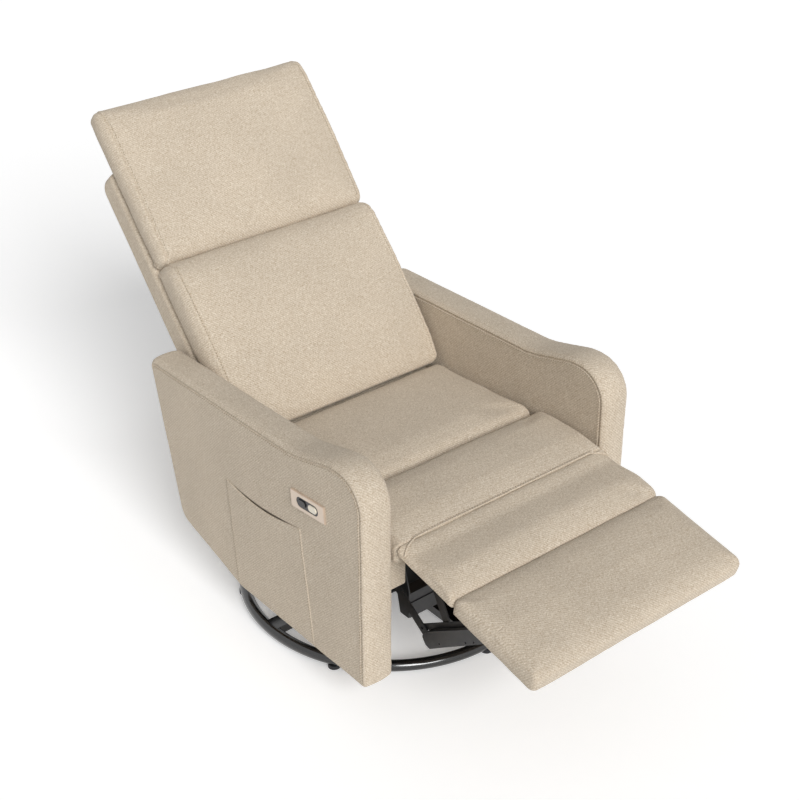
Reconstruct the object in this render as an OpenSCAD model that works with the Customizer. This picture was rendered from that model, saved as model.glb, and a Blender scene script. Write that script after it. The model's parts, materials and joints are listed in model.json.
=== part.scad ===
// Power swivel rocker recliner, shown fully reclined with the legrest out.
// Millimetres. +Z is up, the chair faces -Y, and the origin is where the swivel axis meets the floor.
// Side profiles are drawn as (y, z) and lofted or extruded across the width, along X.

/* [Base] */
// Radius of the base ring, to the middle of its tube
ring_r = 335; // [300:5:360]
// Radius of the ring tube
ring_tube_r = 13; // [10:0.5:15]
// Height of the floor glides under the ring
glide_h = 6; // [4:0.5:9]
// Radius of a floor glide
glide_r = 14; // [10:1:18]
// Number of floor glides
glide_count = 6; // [4:1:8]
// Width of the bars that cross the ring
base_bar_w = 38; // [30:1:50]
// Height of the bars that cross the ring
base_bar_h = 20; // [16:1:22]
// Radius of the two swivel plates
swivel_plate_r = 95; // [80:1:105]
// Thickness of a swivel plate
swivel_plate_t = 3; // [2:0.5:4]
// Radius of a bearing ball
ball_r = 4; // [3:0.5:5]
// Number of bearing balls
ball_count = 16; // [12:1:20]

/* [Rocker] */
// Height of the rocking centre above the floor
rock_z = 455; // [420:5:500]
// Half the distance between the two rocker rails
rocker_x = 150; // [130:5:170]
// Width of a rocker rail and of the cam on it
rocker_w = 30; // [24:1:36]
// Height of a rocker rail
rocker_rail_h = 25; // [20:1:30]
// Length of a rocker rail
rocker_rail_len = 236; // [220:2:250]
// Length of a rocker cam
cam_len = 216; // [180:2:220]
// Height of the cam at its middle
cam_h = 37; // [34:1:45]
// Radius of a rocker spring, to the middle of its wire
coil_r = 14; // [11:0.5:16]
// Radius of the spring wire
coil_wire_r = 2.2; // [1.6:0.1:2.8]
// Turns of a rocker spring
coil_turns = 5; // [4:1:6]

/* [Arms] */
// Gap between the seat cushion and each arm
arm_clear = 3; // [2:0.5:4]
// Thickness of an arm
arm_w = 73; // [60:1:90]
// Distance from the swivel axis to the front of the arms
arm_front = 365; // [350:1:380]
// Distance from the swivel axis to the back of the arms
arm_back = 396; // [385:1:410]
// Height of the underside of the arms
arm_low = 102; // [90:1:106]
// Height of the arm at the swell over its front roll
arm_top = 597; // [585:1:610]
// Radius of the roll at the front of the arm
arm_roll_r = 78; // [60:1:90]
// Rounding along the long edges of an arm
arm_edge_r = 11; // [8:0.5:14]
// Thickness of the plywood panel inside an arm
arm_panel_t = 25; // [18:1:28]

/* [Pocket] */
// Depth of the pocket in the outer face of the arm
pocket_depth = 12; // [10:0.5:14]
// Height of the slit that opens the pocket
pocket_slit = 8; // [7:0.5:10]
// Thickness of the cloth panel that closes the pocket
pocket_panel_t = 3; // [2:0.5:4]
// How far the top of the pocket sags
pocket_sag = 14; // [8:1:20]

/* [Seat] */
// Width of the seat and of the legrest pads
seat_w = 568; // [534:2:570]
// Height of the top of the seat frame, under the cushion
seat_deck_z = 346; // [344:1:350]
// Height of the seat cushion at its front edge
seat_top_z = 431; // [425:1:436]
// Rise of the seat cushion in the middle of its width
seat_crown = 11; // [6:1:14]
// Distance from the swivel axis to the crease behind the front roll
crease_y = 166; // [155:1:175]
// Distance from the swivel axis to the welted seam at the front of the seat
welt_y = 374; // [370:1:378]
// Height of the welted seam
welt_z = 430; // [426:1:434]

/* [Back] */
// Gap between the back cushions and each arm
back_clear = 9; // [7:0.5:14]
// Lean of the back from upright, fully reclined
back_lean = 41.4; // [38:0.2:44]
// Length of the back, from the seat to the top of the head cushion
back_len = 806; // [760:2:840]
// Where the head cushion meets the lumbar cushion, along the back
back_split = 431; // [410:1:450]
// Thickness of the back cushions
back_pad_t = 62; // [56:1:66]
// Thickness of the outer back shell
shell_t = 70; // [60:1:74]
// Length of the outer back shell
shell_len = 676; // [640:2:700]
// How far the back swings up from fully reclined
recline_turn = 27; // [20:1:28]
// How far the seat moves back while the back swings up
seat_travel = 60; // [50:1:64]

/* [Legrest] */
// Length of the flap between the seat and the footrest
flap_len = 169; // [160:1:172]
// Length of the footrest pad
footrest_len = 226; // [210:1:230]
// Slope of the flap below level, with the legrest out
flap_slope = 8.8; // [8:0.1:10]
// Slope of the footrest below level, with the legrest out
footrest_slope = 10.2; // [9:0.1:12]
// Thickness of the flap and footrest pads
leg_pad_t = 40; // [34:1:42]
// How far the footrest turns between stowed and out
legrest_turn = 82; // [80:0.5:84]
// Distance from the swivel axis to the face of the stowed footrest
stow_y = 388; // [386:1:392]
// Height of the top of the stowed footrest
stow_z = 318; // [312:1:322]

/* [Linkage] */
// Thickness of the linkage plates
link_t = 3; // [2.5:0.1:3.2]
// Gap between linkage plates that lie side by side
link_gap = 1; // [0.8:0.1:1.2]
// Distance from the side of the seat to the inner face of the seat plate
plate_inset = 72; // [68:1:76]
// Half the width of the two long links
link_r = 11; // [10:0.5:12]
// Half the width of the steering link
steer_r = 7; // [6:0.5:8]
// Radius of a linkage rivet
rivet_r = 3.5; // [3:0.25:4]
// Running clearance round a rivet or a tube
run_gap = 0.08; // [0.04:0.01:0.1]
// Height of the web of the footrest bar
bar_web = 42; // [36:1:44]
// Width of the flange of the footrest bar
bar_flange = 12; // [8:1:14]
// Radius of the drive tube that joins the two sides
drive_tube_r = 10; // [9:0.5:10.5]
// Radius of the cross tubes that carry the seat
cross_tube_r = 9; // [8:0.5:10]
// Length of the links that the seat swings on
swing_len = 100; // [90:1:110]
// Height of the lower pivots of the swing links
swing_z = 170; // [165:1:175]
// Depth of the front cross channel
channel_d = 28; // [24:1:30]
// Height of the front cross channel
channel_h = 62; // [56:1:64]
// Radius of the drive arms, at the ends of the carriage's travel
drive_arm_r = 60; // [58:1:62]

/* [Controls] */
// Length of the control plate
plate_len = 112; // [104:1:120]
// Height of the control plate
plate_h = 41; // [38:1:44]
// Thickness of the control plate
plate_t = 4.5; // [3:0.5:5]
// Tilt of the control plate up towards the front
plate_tilt = 5.5; // [4:0.5:7]
// Length of the pill-shaped switch housing
pill_len = 72; // [66:1:78]
// Height of the pill-shaped switch housing
pill_h = 23; // [21:1:26]
// Length of a push button
button_len = 27; // [24:0.5:29]
// Height of a push button
button_h = 15; // [13:0.5:16]
// Travel of a push button
button_travel = 1.5; // [1:0.1:1.8]

/* [Hidden] */

// Small common sizes
overrun = 2;
tube_wall = 2;
fit_gap = 0.3;
seat_clear = 1;
small_r = 3;
fillet_r = 12;
round_r = 20;
soft_gap = 0.4;
bolt_r = 6;
head_h = 4;
round_fn = 48;

// Heights of the swivel base
ring_z = glide_h + ring_tube_r;
bar_top = ring_z + ring_tube_r;
lower_plate_top = bar_top + swivel_plate_t;
upper_plate_low = lower_plate_top + 2 * ball_r;
upper_plate_top = upper_plate_low + swivel_plate_t;
member_t = 4;
member_top = upper_plate_top + member_t;
rail_top = member_top + rocker_rail_h;
king_r = 8;
king_head_r = 13;
king_head_h = 5;
race_r = 0.74 * swivel_plate_r;
rail_wall = 3;
coil_clear = 8;
coil_x = rocker_x + rocker_w / 2 + coil_r + coil_clear;
coil_y = 0.34 * cam_len;
coil_seat_rim = 7;
coil_seat_w = 2 * (coil_r + coil_seat_rim);
cam_gap = 0.5;
cam_top = rail_top + cam_h;
spring_bar_t = 4;
cross_rail_h = 28;
cross_rail_w = 30;
cross_rail_wall = 2.5;

// Places along the sides of the chair
arm_gap = seat_w + 2 * arm_clear;
back_w = arm_gap - 2 * back_clear;
seat_plate_x = seat_w / 2 - plate_inset;
side_in = arm_gap / 2;
side_mid = side_in + arm_w / 2;
side_plate_t = 3;
swing_t = 3;
swing_r = 14;
swing_lean = asin(seat_travel / 2 / swing_len);
swing_rise = swing_len * cos(swing_lean);
front_swing_y = -20;
rear_swing_y = 130;
front_swing_low = [front_swing_y, swing_z];
rear_swing_low = [rear_swing_y, swing_z];
swing_top_shift = [-seat_travel / 2, swing_rise];
front_swing_high = front_swing_low + swing_top_shift;
rear_swing_high = rear_swing_low + swing_top_shift;
back_pivot_y = 125;
back_pivot_z = 330;
back_pivot = [back_pivot_y, back_pivot_z];

// Legrest geometry. The footrest turns about a pole that is found from its two end places.
function turned(p, a) = [p[0] * cos(a) - p[1] * sin(a), p[0] * sin(a) + p[1] * cos(a)];
welt = [-welt_y, welt_z];
leg_crease = welt + turned([-flap_len, 0], flap_slope);
stowed_crease = [-stow_y, stow_z];
leg_pole = (leg_crease + stowed_crease) / 2
    + turned(stowed_crease - leg_crease, 90) / (2 * tan(legrest_turn / 2));
bar_front_along = 72.6;
bar_front_below = 70.2;
bar_rear_y = -405;
bar_rear_z = 192;
bar_front = leg_crease + turned([-bar_front_along, -bar_front_below], footrest_slope);
bar_rear = [bar_rear_y, bar_rear_z];
drive_pivot = leg_pole + bar_rear - bar_front;
bar_vector = bar_front - bar_rear;
bar_len = norm(bar_vector);
bar_angle = atan2(bar_vector[1], bar_vector[0]);
link_vector = bar_rear - drive_pivot;
link_angle = atan2(link_vector[1], link_vector[0]);
elbow_share = 0.3;
elbow_pivot = drive_pivot + elbow_share * bar_vector;
elbow_end = bar_rear + elbow_share * bar_vector;
elbow_reach = 125;
elbow_drop = 18;
elbow_knee = elbow_pivot - [elbow_reach, elbow_drop];
steer_offset = 26;
steer_shift = -steer_offset * link_vector / norm(link_vector);
steer_rear = bar_rear + steer_shift;
steer_front = bar_front + steer_shift;

// Layers of the linkage, outwards from the seat plate
layer = link_t + link_gap;
elbow_x = seat_plate_x + layer;
steer_x = elbow_x + layer;
long_x = steer_x + layer;
bar_x = long_x + layer;
bracket_x = seat_plate_x - layer;

// Front channel, under the nose of the seat plates
channel_front = 328;
channel_low = 190;
channel_top = channel_low + channel_h;
channel_wall = 2.5;

// Actuator under the seat
drive_drop = drive_arm_r * cos(legrest_turn / 2);
carriage_y = drive_pivot[0] - drive_arm_r * sin(legrest_turn / 2);
carriage_travel = 2 * drive_arm_r * sin(legrest_turn / 2);
carriage_z = drive_pivot[1] - drive_drop;
carriage_pin_r = 4;
track_half = 16;
track_wall = 2.5;
rail_half = 4;
lever_t = 5;
lever_x = track_half + 6;
track_low = channel_top;
track_h = carriage_z - track_low - carriage_pin_r - seat_clear;
track_spare = 26;
track_rear = carriage_y + carriage_travel + track_spare;
screw_r = 4;
screw_z = track_low + track_h / 2;
gearbox_w = 56;
gearbox_len = 48;
gearbox_h = 45;
gearbox_drop = 8;
motor_cap_h = 4;
motor_cap_inset = 6;
motor_r = 20;
motor_len = 62;

// Seat frame
deck_t = 14;
side_rail_w = 42;
deck_clear = 5;
deck_half = seat_plate_x - layer - deck_clear;
deck_front = 244;
deck_back = 92;
end_rail_w = 40;
spring_wire = 3.6;
spring_half = 22;
spring_rows = 5;

// Back, drawn as (along the back, out of its face)
back_foot_y = 143;
back_foot_z = 411;
back_foot = [back_foot_y, back_foot_z];
back_shift = 10;
frame_depth = 28;
shell_rim = 45;
shell_skin = 12;
cavity_half = bracket_x + link_t + soft_gap;
cavity_end = shell_len - shell_rim;
shell_face = -back_pad_t - soft_gap;
back_pivot_local = turned(back_pivot - back_foot, back_lean - 90);

// Controls on the outer face of the right-hand arm
control_y = -192;
control_z = 462;
control_at = [control_y, control_z];
arm_out = side_in + arm_w;
plate_corner_r = 2.5;
housing_depth = 22;
housing_wall = 1.6;
button_gap = fit_gap;
button_edge = 0.8;
pill_sink = 0.5;
button_pitch = 35;
button_rim = 2;
button_depth = 10;

// Outline of a polygon with rounded corners, drawn in by d. Points run clockwise or anticlockwise,
// corner n has radius radii[n], and each corner gives steps + 1 points.
function unit(v) = v / norm(v);
function area2(p) = [for (i = [0:len(p) - 1]) let (q = p[(i + 1) % len(p)]) p[i][0] * q[1] - q[0] * p[i][1]];
function total(a, i = 0) = i == len(a) ? 0 : a[i] + total(a, i + 1);
function hand(p) = total(area2(p)) > 0 ? 1 : -1;
function corner(p, q, s, r, d, h, steps) = let (
    a = unit(q - p),
    b = unit(s - q),
    turn = a[0] * b[1] - a[1] * b[0],
    bend = atan2(turn, a * b),
    side = h * (turn * h > 0 ? 1 : -1),
    na = [-a[1], a[0]] * h,
    nb = [-b[1], b[0]] * h,
    hit = q + (na + nb) * d / (1 + na * nb),
    rad = max(turn * h > 0 ? r - d : r + d, 0.1),
    reach = rad * tan(abs(bend) / 2),
    mid = hit - a * reach + [-a[1], a[0]] * side * rad
    ) [for (i = [0:steps]) mid + turned(hit - a * reach - mid, bend * i / steps)];
function rounded(p, radii, d = 0, steps = 5) = let (h = hand(p), n = len(p))
    [for (i = [0:n - 1]) each corner(p[(i + n - 1) % n], p[i], p[(i + 1) % n], radii[i], d, h, steps)];

// Outline of a flat link with round ends that runs through two or more points
function link_outline(q, r) = let (
    n = len(q),
    a = [for (i = [0:n - 2]) unit(q[i + 1] - q[i])],
    m = [for (i = [0:n - 1]) let (b = a[max(i - 1, 0)], c = a[min(i, n - 2)], s = [-b[1] - c[1], b[0] + c[0]])
        s * r / (1 + b * c)],
    ends = [for (i = [0:n - 1]) i == 0 ? -a[0] * r : i == n - 1 ? a[n - 2] * r : [0, 0]],
    round_r = 0.97 * r
    ) rounded(concat([for (i = [0:n - 1]) q[i] + m[i] + ends[i]], [for (i = [n - 1:-1:0]) q[i] - m[i] + ends[i]]),
        [for (i = [0:2 * n - 1]) let (k = i < n ? i : 2 * n - 1 - i) k == 0 || k == n - 1 ? round_r : 2.5 * r],
        0, 8);

// A padded form: a side outline carried across the width, rounded over at both ends, with a crown
// on its face and ends that are drawn in between the corners.
function ends_of(edge) = [for (a = [0:30:90]) [edge * (1 - sin(a)), edge * (1 - cos(a))]];
function padded_points(p, radii, w, edge, crown, draw, stations, steps) = let (
    lo = min([for (q = p) q[0]]),
    span = max([for (q = p) q[0]]) - lo,
    base = min([for (q = p) q[1]]),
    rise = max([for (q = p) q[1]]) - base,
    ends = ends_of(edge),
    flat = w / 2 - edge,
    rows = concat(
        [for (e = ends) [-w / 2 + e[1], e[0]]],
        [for (i = [1:stations - 1]) [flat * (2 * i / stations - 1), 0]],
        [for (i = [3:-1:0]) [w / 2 - ends[i][1], ends[i][0]]])
    ) [for (row = rows) [for (q = rounded(p, radii, row[1], steps)) let (
        u = min(max((q[0] - lo) / span, 0), 1),
        v = min(max((q[1] - base) / rise, 0), 1),
        across = 2 * row[0] / w)
        [row[0] * (1 - draw * sin(180 * u) * 2 / w),
            q[0],
            q[1] + crown * v * v * sin(180 * u) * (1 - across * across)]]];
module loft(rows) {
    m = len(rows);
    n = len(rows[0]);
    side_faces = [for (i = [0:m - 2], j = [0:n - 1]) let (k = (j + 1) % n)
        each [[i * n + j, (i + 1) * n + k, i * n + k], [i * n + j, (i + 1) * n + j, (i + 1) * n + k]]];
    end_faces = [[for (j = [0:n - 1]) j], [for (j = [n - 1:-1:0]) (m - 1) * n + j]];
    polyhedron([for (r = rows) each r], concat(side_faces, end_faces), convexity = 6);
}
module padded(p, radii, w, edge, crown = 0, draw = 0, stations = 6, steps = 5) {
    turn_it = hand(p) < 0;
    q = turn_it ? [for (i = [len(p) - 1:-1:0]) p[i]] : p;
    r = turn_it ? [for (i = [len(p) - 1:-1:0]) radii[i]] : radii;
    rows = padded_points(q, r, w, edge, crown, draw, stations, steps);
    loft(rows);
}

// A flat shape drawn as (y, z), standing across X from x0 to x0 + t
module upright(x0, t) {
    translate([x0, 0, 0]) rotate([90, 0, 90]) linear_extrude(t) children();
}
module rod(x0, x1, at, r) {
    translate([x0, at[0], at[1]]) rotate([0, 90, 0]) cylinder(h = x1 - x0, r = r, $fn = round_fn);
}
module both() {
    children();
    mirror([1, 0, 0]) children();
}
module bar2d(a, b, r) {
    translate(a) circle(r, $fn = round_fn);
    translate(b) circle(r, $fn = round_fn);
    translate(a) rotate(atan2(b[1] - a[1], b[0] - a[0])) translate([0, -r]) square([norm(b - a), 2 * r]);
}
module hole2d(a, r) {
    translate(a) circle(r, $fn = round_fn);
}
module block(x0, x1, y0, y1, z0, z1) {
    translate([x0, y0, z0]) cube([x1 - x0, y1 - y0, z1 - z0]);
}
module back_place() {
    translate([0, back_foot[0], back_foot[1]]) rotate([90 - back_lean, 0, 0]) children();
}
module leg_place() {
    translate([0, leg_crease[0], leg_crease[1]]) rotate([footrest_slope, 0, 0]) mirror([0, 1, 0]) children();
}

// Swivel base

module ring_solid(grow) {
    translate([0, 0, ring_z]) rotate_extrude($fn = 96)
        translate([ring_r, 0]) circle(ring_tube_r + grow, $fn = round_fn);
}
module base_ring() {
    color("#17171a") ring_solid(0);
}
module base_bars() {
    z0 = bar_top - base_bar_h;
    half = base_bar_w / 2;
    wall = rail_wall;
    color("#1b1b1e") difference() {
        union() {
            block(-ring_r, ring_r, -half, half, z0, bar_top);
            block(-half, half, half + soft_gap, ring_r, z0, bar_top);
            block(-half, half, -ring_r, -half - soft_gap, z0, bar_top);
        }
        block(-ring_r - overrun, ring_r + overrun, wall - half, half - wall, z0 - overrun, bar_top - wall);
        block(wall - half, half - wall, half - overrun, ring_r + overrun, z0 - overrun, bar_top - wall);
        block(wall - half, half - wall, -ring_r - overrun, overrun - half, z0 - overrun, bar_top - wall);
        ring_solid(run_gap);
        cylinder(h = bar_top + overrun, r = king_r + run_gap, $fn = round_fn);
    }
}
module floor_glides() {
    color("#242426") for (i = [0:glide_count - 1]) rotate((i + 0.5) * 360 / glide_count)
        translate([ring_r, 0, 0]) difference() {
            cylinder(h = glide_h + ring_tube_r / 4, r = glide_r, $fn = round_fn);
            translate([-ring_r, 0, 0]) ring_solid(run_gap / 2);
        }
}
module lower_swivel_plate() {
    color("#2c2c30") translate([0, 0, bar_top]) difference() {
        cylinder(h = swivel_plate_t, r = swivel_plate_r, $fn = round_fn);
        translate([0, 0, -overrun]) cylinder(h = swivel_plate_t + 2 * overrun, r = king_r + run_gap, $fn = round_fn);
    }
}
module king_bolt() {
    z0 = bar_top - rail_wall - king_head_h;
    nut_h = king_head_h;
    color("#8d8f93") {
        translate([0, 0, z0]) cylinder(h = king_head_h, r = king_head_r, $fn = 6);
        translate([0, 0, z0]) cylinder(h = upper_plate_top + nut_h - z0, r = king_r, $fn = round_fn);
        translate([0, 0, upper_plate_top + soft_gap]) cylinder(h = nut_h, r = king_head_r, $fn = 6);
    }
}
module bearing_balls() {
    color("#c9cbce") for (i = [0:ball_count - 1]) rotate(i * 360 / ball_count)
        translate([race_r, 0, lower_plate_top + ball_r]) sphere(ball_r - run_gap / 4, $fn = 32);
}
module bearing_cage() {
    cage_half = 2 * ball_r;
    cage_h = 0.8 * ball_r;
    color("#e4e0d4") translate([0, 0, lower_plate_top + ball_r - cage_h / 2]) difference() {
        cylinder(h = cage_h, r = race_r + cage_half, $fn = 64);
        translate([0, 0, -overrun]) cylinder(h = cage_h + 2 * overrun, r = race_r - cage_half, $fn = 64);
        for (i = [0:ball_count - 1]) rotate(i * 360 / ball_count) translate([race_r, 0, -overrun])
            cylinder(h = cage_h + 2 * overrun, r = ball_r + fit_gap / 2, $fn = 32);
    }
}

// Turntable and rocker

module upper_swivel_plate() {
    color("#2c2c30") translate([0, 0, upper_plate_low]) difference() {
        cylinder(h = swivel_plate_t, r = swivel_plate_r, $fn = round_fn);
        translate([0, 0, -overrun]) cylinder(h = swivel_plate_t + 2 * overrun, r = king_r + run_gap, $fn = round_fn);
    }
}
module swivel_crossmembers() {
    reach = coil_x + coil_seat_w / 2;
    color("#1f1f22") for (s = [-1, 1]) translate([0, s * coil_y, 0])
        block(-reach, reach, -coil_seat_w / 2, coil_seat_w / 2, upper_plate_top, member_top);
}
module rocker_rails() {
    half = rocker_w / 2;
    color("#1f1f22") both() difference() {
        block(rocker_x - half, rocker_x + half, -rocker_rail_len / 2, rocker_rail_len / 2, member_top, rail_top);
        block(rocker_x - half + rail_wall, rocker_x + half - rail_wall, -rocker_rail_len,
            rocker_rail_len, member_top - overrun, rail_top - rail_wall);
    }
}
module coil(z0, z1) {
    rings = 8 * coil_turns;
    sides = 6;
    pitch = (z1 - z0 - 2 * coil_wire_r) / coil_turns;
    rows = [for (i = [0:rings]) let (a = 360 * i / 8, h = z0 + coil_wire_r + pitch * i / 8)
        [for (j = [0:sides - 1]) let (b = 360 * j / sides)
            [(coil_r + coil_wire_r * cos(b)) * cos(a), (coil_r + coil_wire_r * cos(b)) * sin(a),
                h + coil_wire_r * sin(b)]]];
    echo(least_gap_between_turns = pitch - 2 * coil_wire_r);
    loft(rows);
}
module rocker_springs() {
    color("#6f7276") both() for (s = [-1, 1]) translate([coil_x, s * coil_y, 0])
        coil(member_top, cam_top - spring_bar_t);
}

// Chair frame

module rocker_cams() {
    half = rocker_w / 2;
    cam_r = rock_z - rail_top - cam_gap;
    color("#9a7b55") both() intersection() {
        block(rocker_x - half, rocker_x + half, -cam_len / 2, cam_len / 2, rail_top, cam_top);
        rod(rocker_x - half - overrun, rocker_x + half + overrun, [0, rock_z], cam_r);
    }
}
module spring_bars() {
    color("#1f1f22") both() block(coil_x - coil_seat_w / 2, coil_x + coil_seat_w / 2,
        -coil_y - coil_seat_w / 2, rear_swing_low[0] + cross_rail_w / 2, cam_top - spring_bar_t, cam_top);
}
module frame_cross_rails() {
    half = cross_rail_w / 2;
    reach = side_in - side_plate_t;
    wall = cross_rail_wall;
    color("#1f1f22") for (y = [-coil_y / 6, rear_swing_low[0]]) difference() {
        block(-reach, reach, y - half, y + half, cam_top, cam_top + cross_rail_h);
        block(-reach - overrun, reach + overrun, y - half + wall, y + half - wall,
            cam_top - overrun, cam_top + cross_rail_h - wall);
    }
}
module frame_side_plates() {
    corner_r = fillet_r;
    low = cam_top;
    side_margin = 40;
    top_margin = 26;
    front = front_swing_low[0] - side_margin;
    rear = rear_swing_low[0] + side_margin;
    p = [[front, low], [rear, low], [rear, swing_z + top_margin], [front, swing_z + top_margin]];
    color("#1f1f22") both() difference() {
        upright(side_in - side_plate_t, side_plate_t) difference() {
            polygon(rounded(p, [corner_r, corner_r, corner_r, corner_r]));
            hole2d(front_swing_low, bolt_r + run_gap);
            hole2d(rear_swing_low, bolt_r + run_gap);
            for (q = arm_bolt_places) hole2d(q, bolt_r / 2 + run_gap);
        }
    }
}
arm_bolt_out = 26;
arm_bolt_down = 34;
arm_bolt_places = [front_swing_low - [arm_bolt_out, arm_bolt_down], (front_swing_low + rear_swing_low) / 2,
    rear_swing_low + [arm_bolt_out, 0]];
module swing_bolts() {
    x1 = side_in;
    x0 = side_in - side_plate_t - 2 * link_gap - swing_t - head_h;
    color("#8d8f93") both() for (p = [front_swing_low, rear_swing_low]) {
        rod(x0, x1, p, bolt_r);
        rod(x0, x0 + head_h - link_gap, p, bolt_r + head_h);
    }
}
module arm_bolts() {
    x0 = side_in - side_plate_t;
    x1 = side_mid;
    color("#8d8f93") both() for (p = arm_bolt_places) {
        rod(x0 - head_h / 2, x1, p, bolt_r / 2);
        rod(x0 - head_h / 2, x0, p, bolt_r);
    }
}

// Arm outline, as shares of the front, back, bottom and top of the arm
arm_share = [[1, 0], [1, 1], [0.715, 1], [0.37, 0.931], [-1, 0.896], [-0.773, 0.137], [-0.19, 0]];
arm_foot_r = 12;
arm_dip_r = 130;
arm_rest_r = 220;
arm_back_r = 22;
arm_heel_r = 42;
arm_belly_r = 70;
arm_radii = [arm_foot_r, arm_roll_r, arm_dip_r, arm_rest_r, arm_back_r, arm_heel_r, arm_belly_r];
function arm_point(s) = [s[0] > 0 ? -s[0] * arm_front : -s[0] * arm_back, arm_low + s[1] * (arm_top - arm_low)];
arm_outline = [for (s = arm_share) arm_point(s)];
panel_inset = 24;
panel_gap = fit_gap;
module arm_panels() {
    color("#b08d5f") both() difference() {
        upright(side_mid - arm_panel_t / 2, arm_panel_t) panel_shape(0);
        for (p = arm_bolt_places) rod(side_in, side_mid, p, bolt_r / 2);
    }
}
module panel_shape(grow) {
    p = [for (q = arm_outline) [q[0], max(q[1], arm_low)]];
    intersection() {
        polygon(rounded(p, arm_radii, panel_inset - grow));
        translate([-arm_front, arm_low + panel_inset / 2]) square([arm_front + arm_back, arm_top]);
    }
    foot_w = 60;
    for (y = [-arm_front + 3 * panel_inset, arm_point(arm_share[6])[0] - foot_w - panel_inset])
        translate([y - grow, arm_low - grow]) square([foot_w + 2 * grow, panel_inset * 2]);
}
module arm_solid() {
    difference() {
        translate([side_mid, 0, 0]) padded(arm_outline, arm_radii, arm_w, arm_edge_r, 0, 0, 2, 6);
        upright(side_mid - arm_panel_t / 2 - panel_gap, arm_panel_t + 2 * panel_gap) panel_shape(panel_gap);
        for (p = arm_bolt_places) rod(side_in - overrun, side_mid, p, bolt_r / 2);
    }
}
module arm_left() {
    color("#cbbfa6") arm_solid();
}
pocket_top_share = [[-0.275, 0.545], [0.433, 0.578]];
pocket_low_share = [[-0.215, 0.06], [0.535, 0.06]];
function pocket_curve(drop, past = 0) = let (a = arm_point(pocket_top_share[0]), b = arm_point(pocket_top_share[1]))
    [for (i = [-past:12 + past]) a + (b - a) * i / 12 - [0, drop + pocket_sag * sin(15 * i)]];
function pocket_outline(drop) = concat(pocket_curve(drop),
    [arm_point(pocket_low_share[1]), arm_point(pocket_low_share[0])]);
module arm_right() {
    color("#cbbfa6") difference() {
        mirror([1, 0, 0]) arm_solid();
        upright(-arm_out - overrun, pocket_depth + overrun) polygon(pocket_outline(0));
        control_place() translate([0, 0, -housing_depth - soft_gap])
            pill(pill_len, pill_h, housing_depth + soft_gap + overrun, soft_gap);
    }
}
module side_pocket() {
    low_edge = pocket_curve(pocket_slit, 1);
    color("#c8bca3") upright(-arm_out, pocket_panel_t) difference() {
        polygon(pocket_outline(0));
        polygon(concat(pocket_curve(-pocket_slit, 1), [for (i = [len(low_edge) - 1:-1:0]) low_edge[i]]));
    }
}

// Control panel. Here X runs forwards along the plate, Y up it, and Z out of the arm.
module control_place() {
    translate([-arm_out, control_at[0], control_at[1]]) rotate([90, 0, -90]) rotate(plate_tilt) children();
}
module pill(l, h, t, grow) {
    linear_extrude(t) bar2d([-(l - h) / 2, 0], [(l - h) / 2, 0], h / 2 + grow);
}
module control_plate() {
    p = [[-plate_len / 2, -plate_h / 2], [plate_len / 2, -plate_h / 2],
        [plate_len / 2, plate_h / 2], [-plate_len / 2, plate_h / 2]];
    radii = [for (q = p) plate_corner_r];
    bevel = plate_t / 3;
    color("#cdb59b") control_place() difference() {
        union() {
            linear_extrude(plate_t - bevel) polygon(rounded(p, radii));
            translate([0, 0, plate_t - bevel]) linear_extrude(bevel) polygon(rounded(p, radii, bevel));
        }
        translate([0, 0, -overrun]) pill(pill_len, pill_h, plate_t + 2 * overrun, run_gap);
    }
}
module switch_housing() {
    top = plate_t - pill_sink;
    color("#141416") control_place() difference() {
        translate([0, 0, -housing_depth]) pill(pill_len, pill_h, housing_depth + top, 0);
        for (s = [-1, 1]) translate([s * button_pitch / 2, 0, top - button_depth - 2 * button_travel])
            pill(button_len, button_h, button_depth + 2 * button_travel + overrun, button_gap);
    }
}
module button(s) {
    top = plate_t - pill_sink + button_rim;
    control_place() translate([s * button_pitch / 2, 0, top - button_depth]) union() {
        pill(button_len, button_h, button_depth - button_edge, 0);
        pill(button_len, button_h, button_depth, -button_edge);
    }
}
module open_button() {
    color("#e9e2d2") button(1);
}
module close_button() {
    color("#2a2b2e") button(-1);
}

rear_rail_y = 240;
rear_rail_t = 22;
rear_rail_low = 150;
rear_rail_h = 62;
rear_rail_r = 5;
module rear_rail() {
    y = rear_rail_y;
    low = rear_rail_low;
    high = low + rear_rail_h;
    p = [[y, low], [y + rear_rail_t, low], [y + rear_rail_t, high], [y, high]];
    color("#c3b79e") difference() {
        upright(-side_in, arm_gap) polygon(rounded(p, [for (q = p) rear_rail_r]));
        translate([0, y + rear_rail_t + overrun, (low + high) / 2]) rotate([90, 0, 0])
            cylinder(h = inlet_depth + overrun, r = inlet_r, $fn = round_fn);
    }
}
inlet_r = 11;
inlet_depth = 16;
module power_inlet() {
    y = rear_rail_y + rear_rail_t;
    z = rear_rail_low + rear_rail_h / 2;
    lip = 2.5;
    floor_t = 3;
    color("#141416") translate([0, y, z]) rotate([-90, 0, 0]) difference() {
        union() {
            translate([0, 0, -inlet_depth]) cylinder(h = inlet_depth, r = inlet_r - run_gap / 2, $fn = round_fn);
            cylinder(h = lip, r = inlet_r + lip, $fn = round_fn);
        }
        translate([0, 0, floor_t - inlet_depth]) difference() {
            cylinder(h = inlet_depth + lip, r = inlet_r / 2, $fn = round_fn);
            cylinder(h = inlet_depth - 2 * floor_t, r = inlet_r / 8, $fn = round_fn);
        }
    }
}

// Seat carriage

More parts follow.
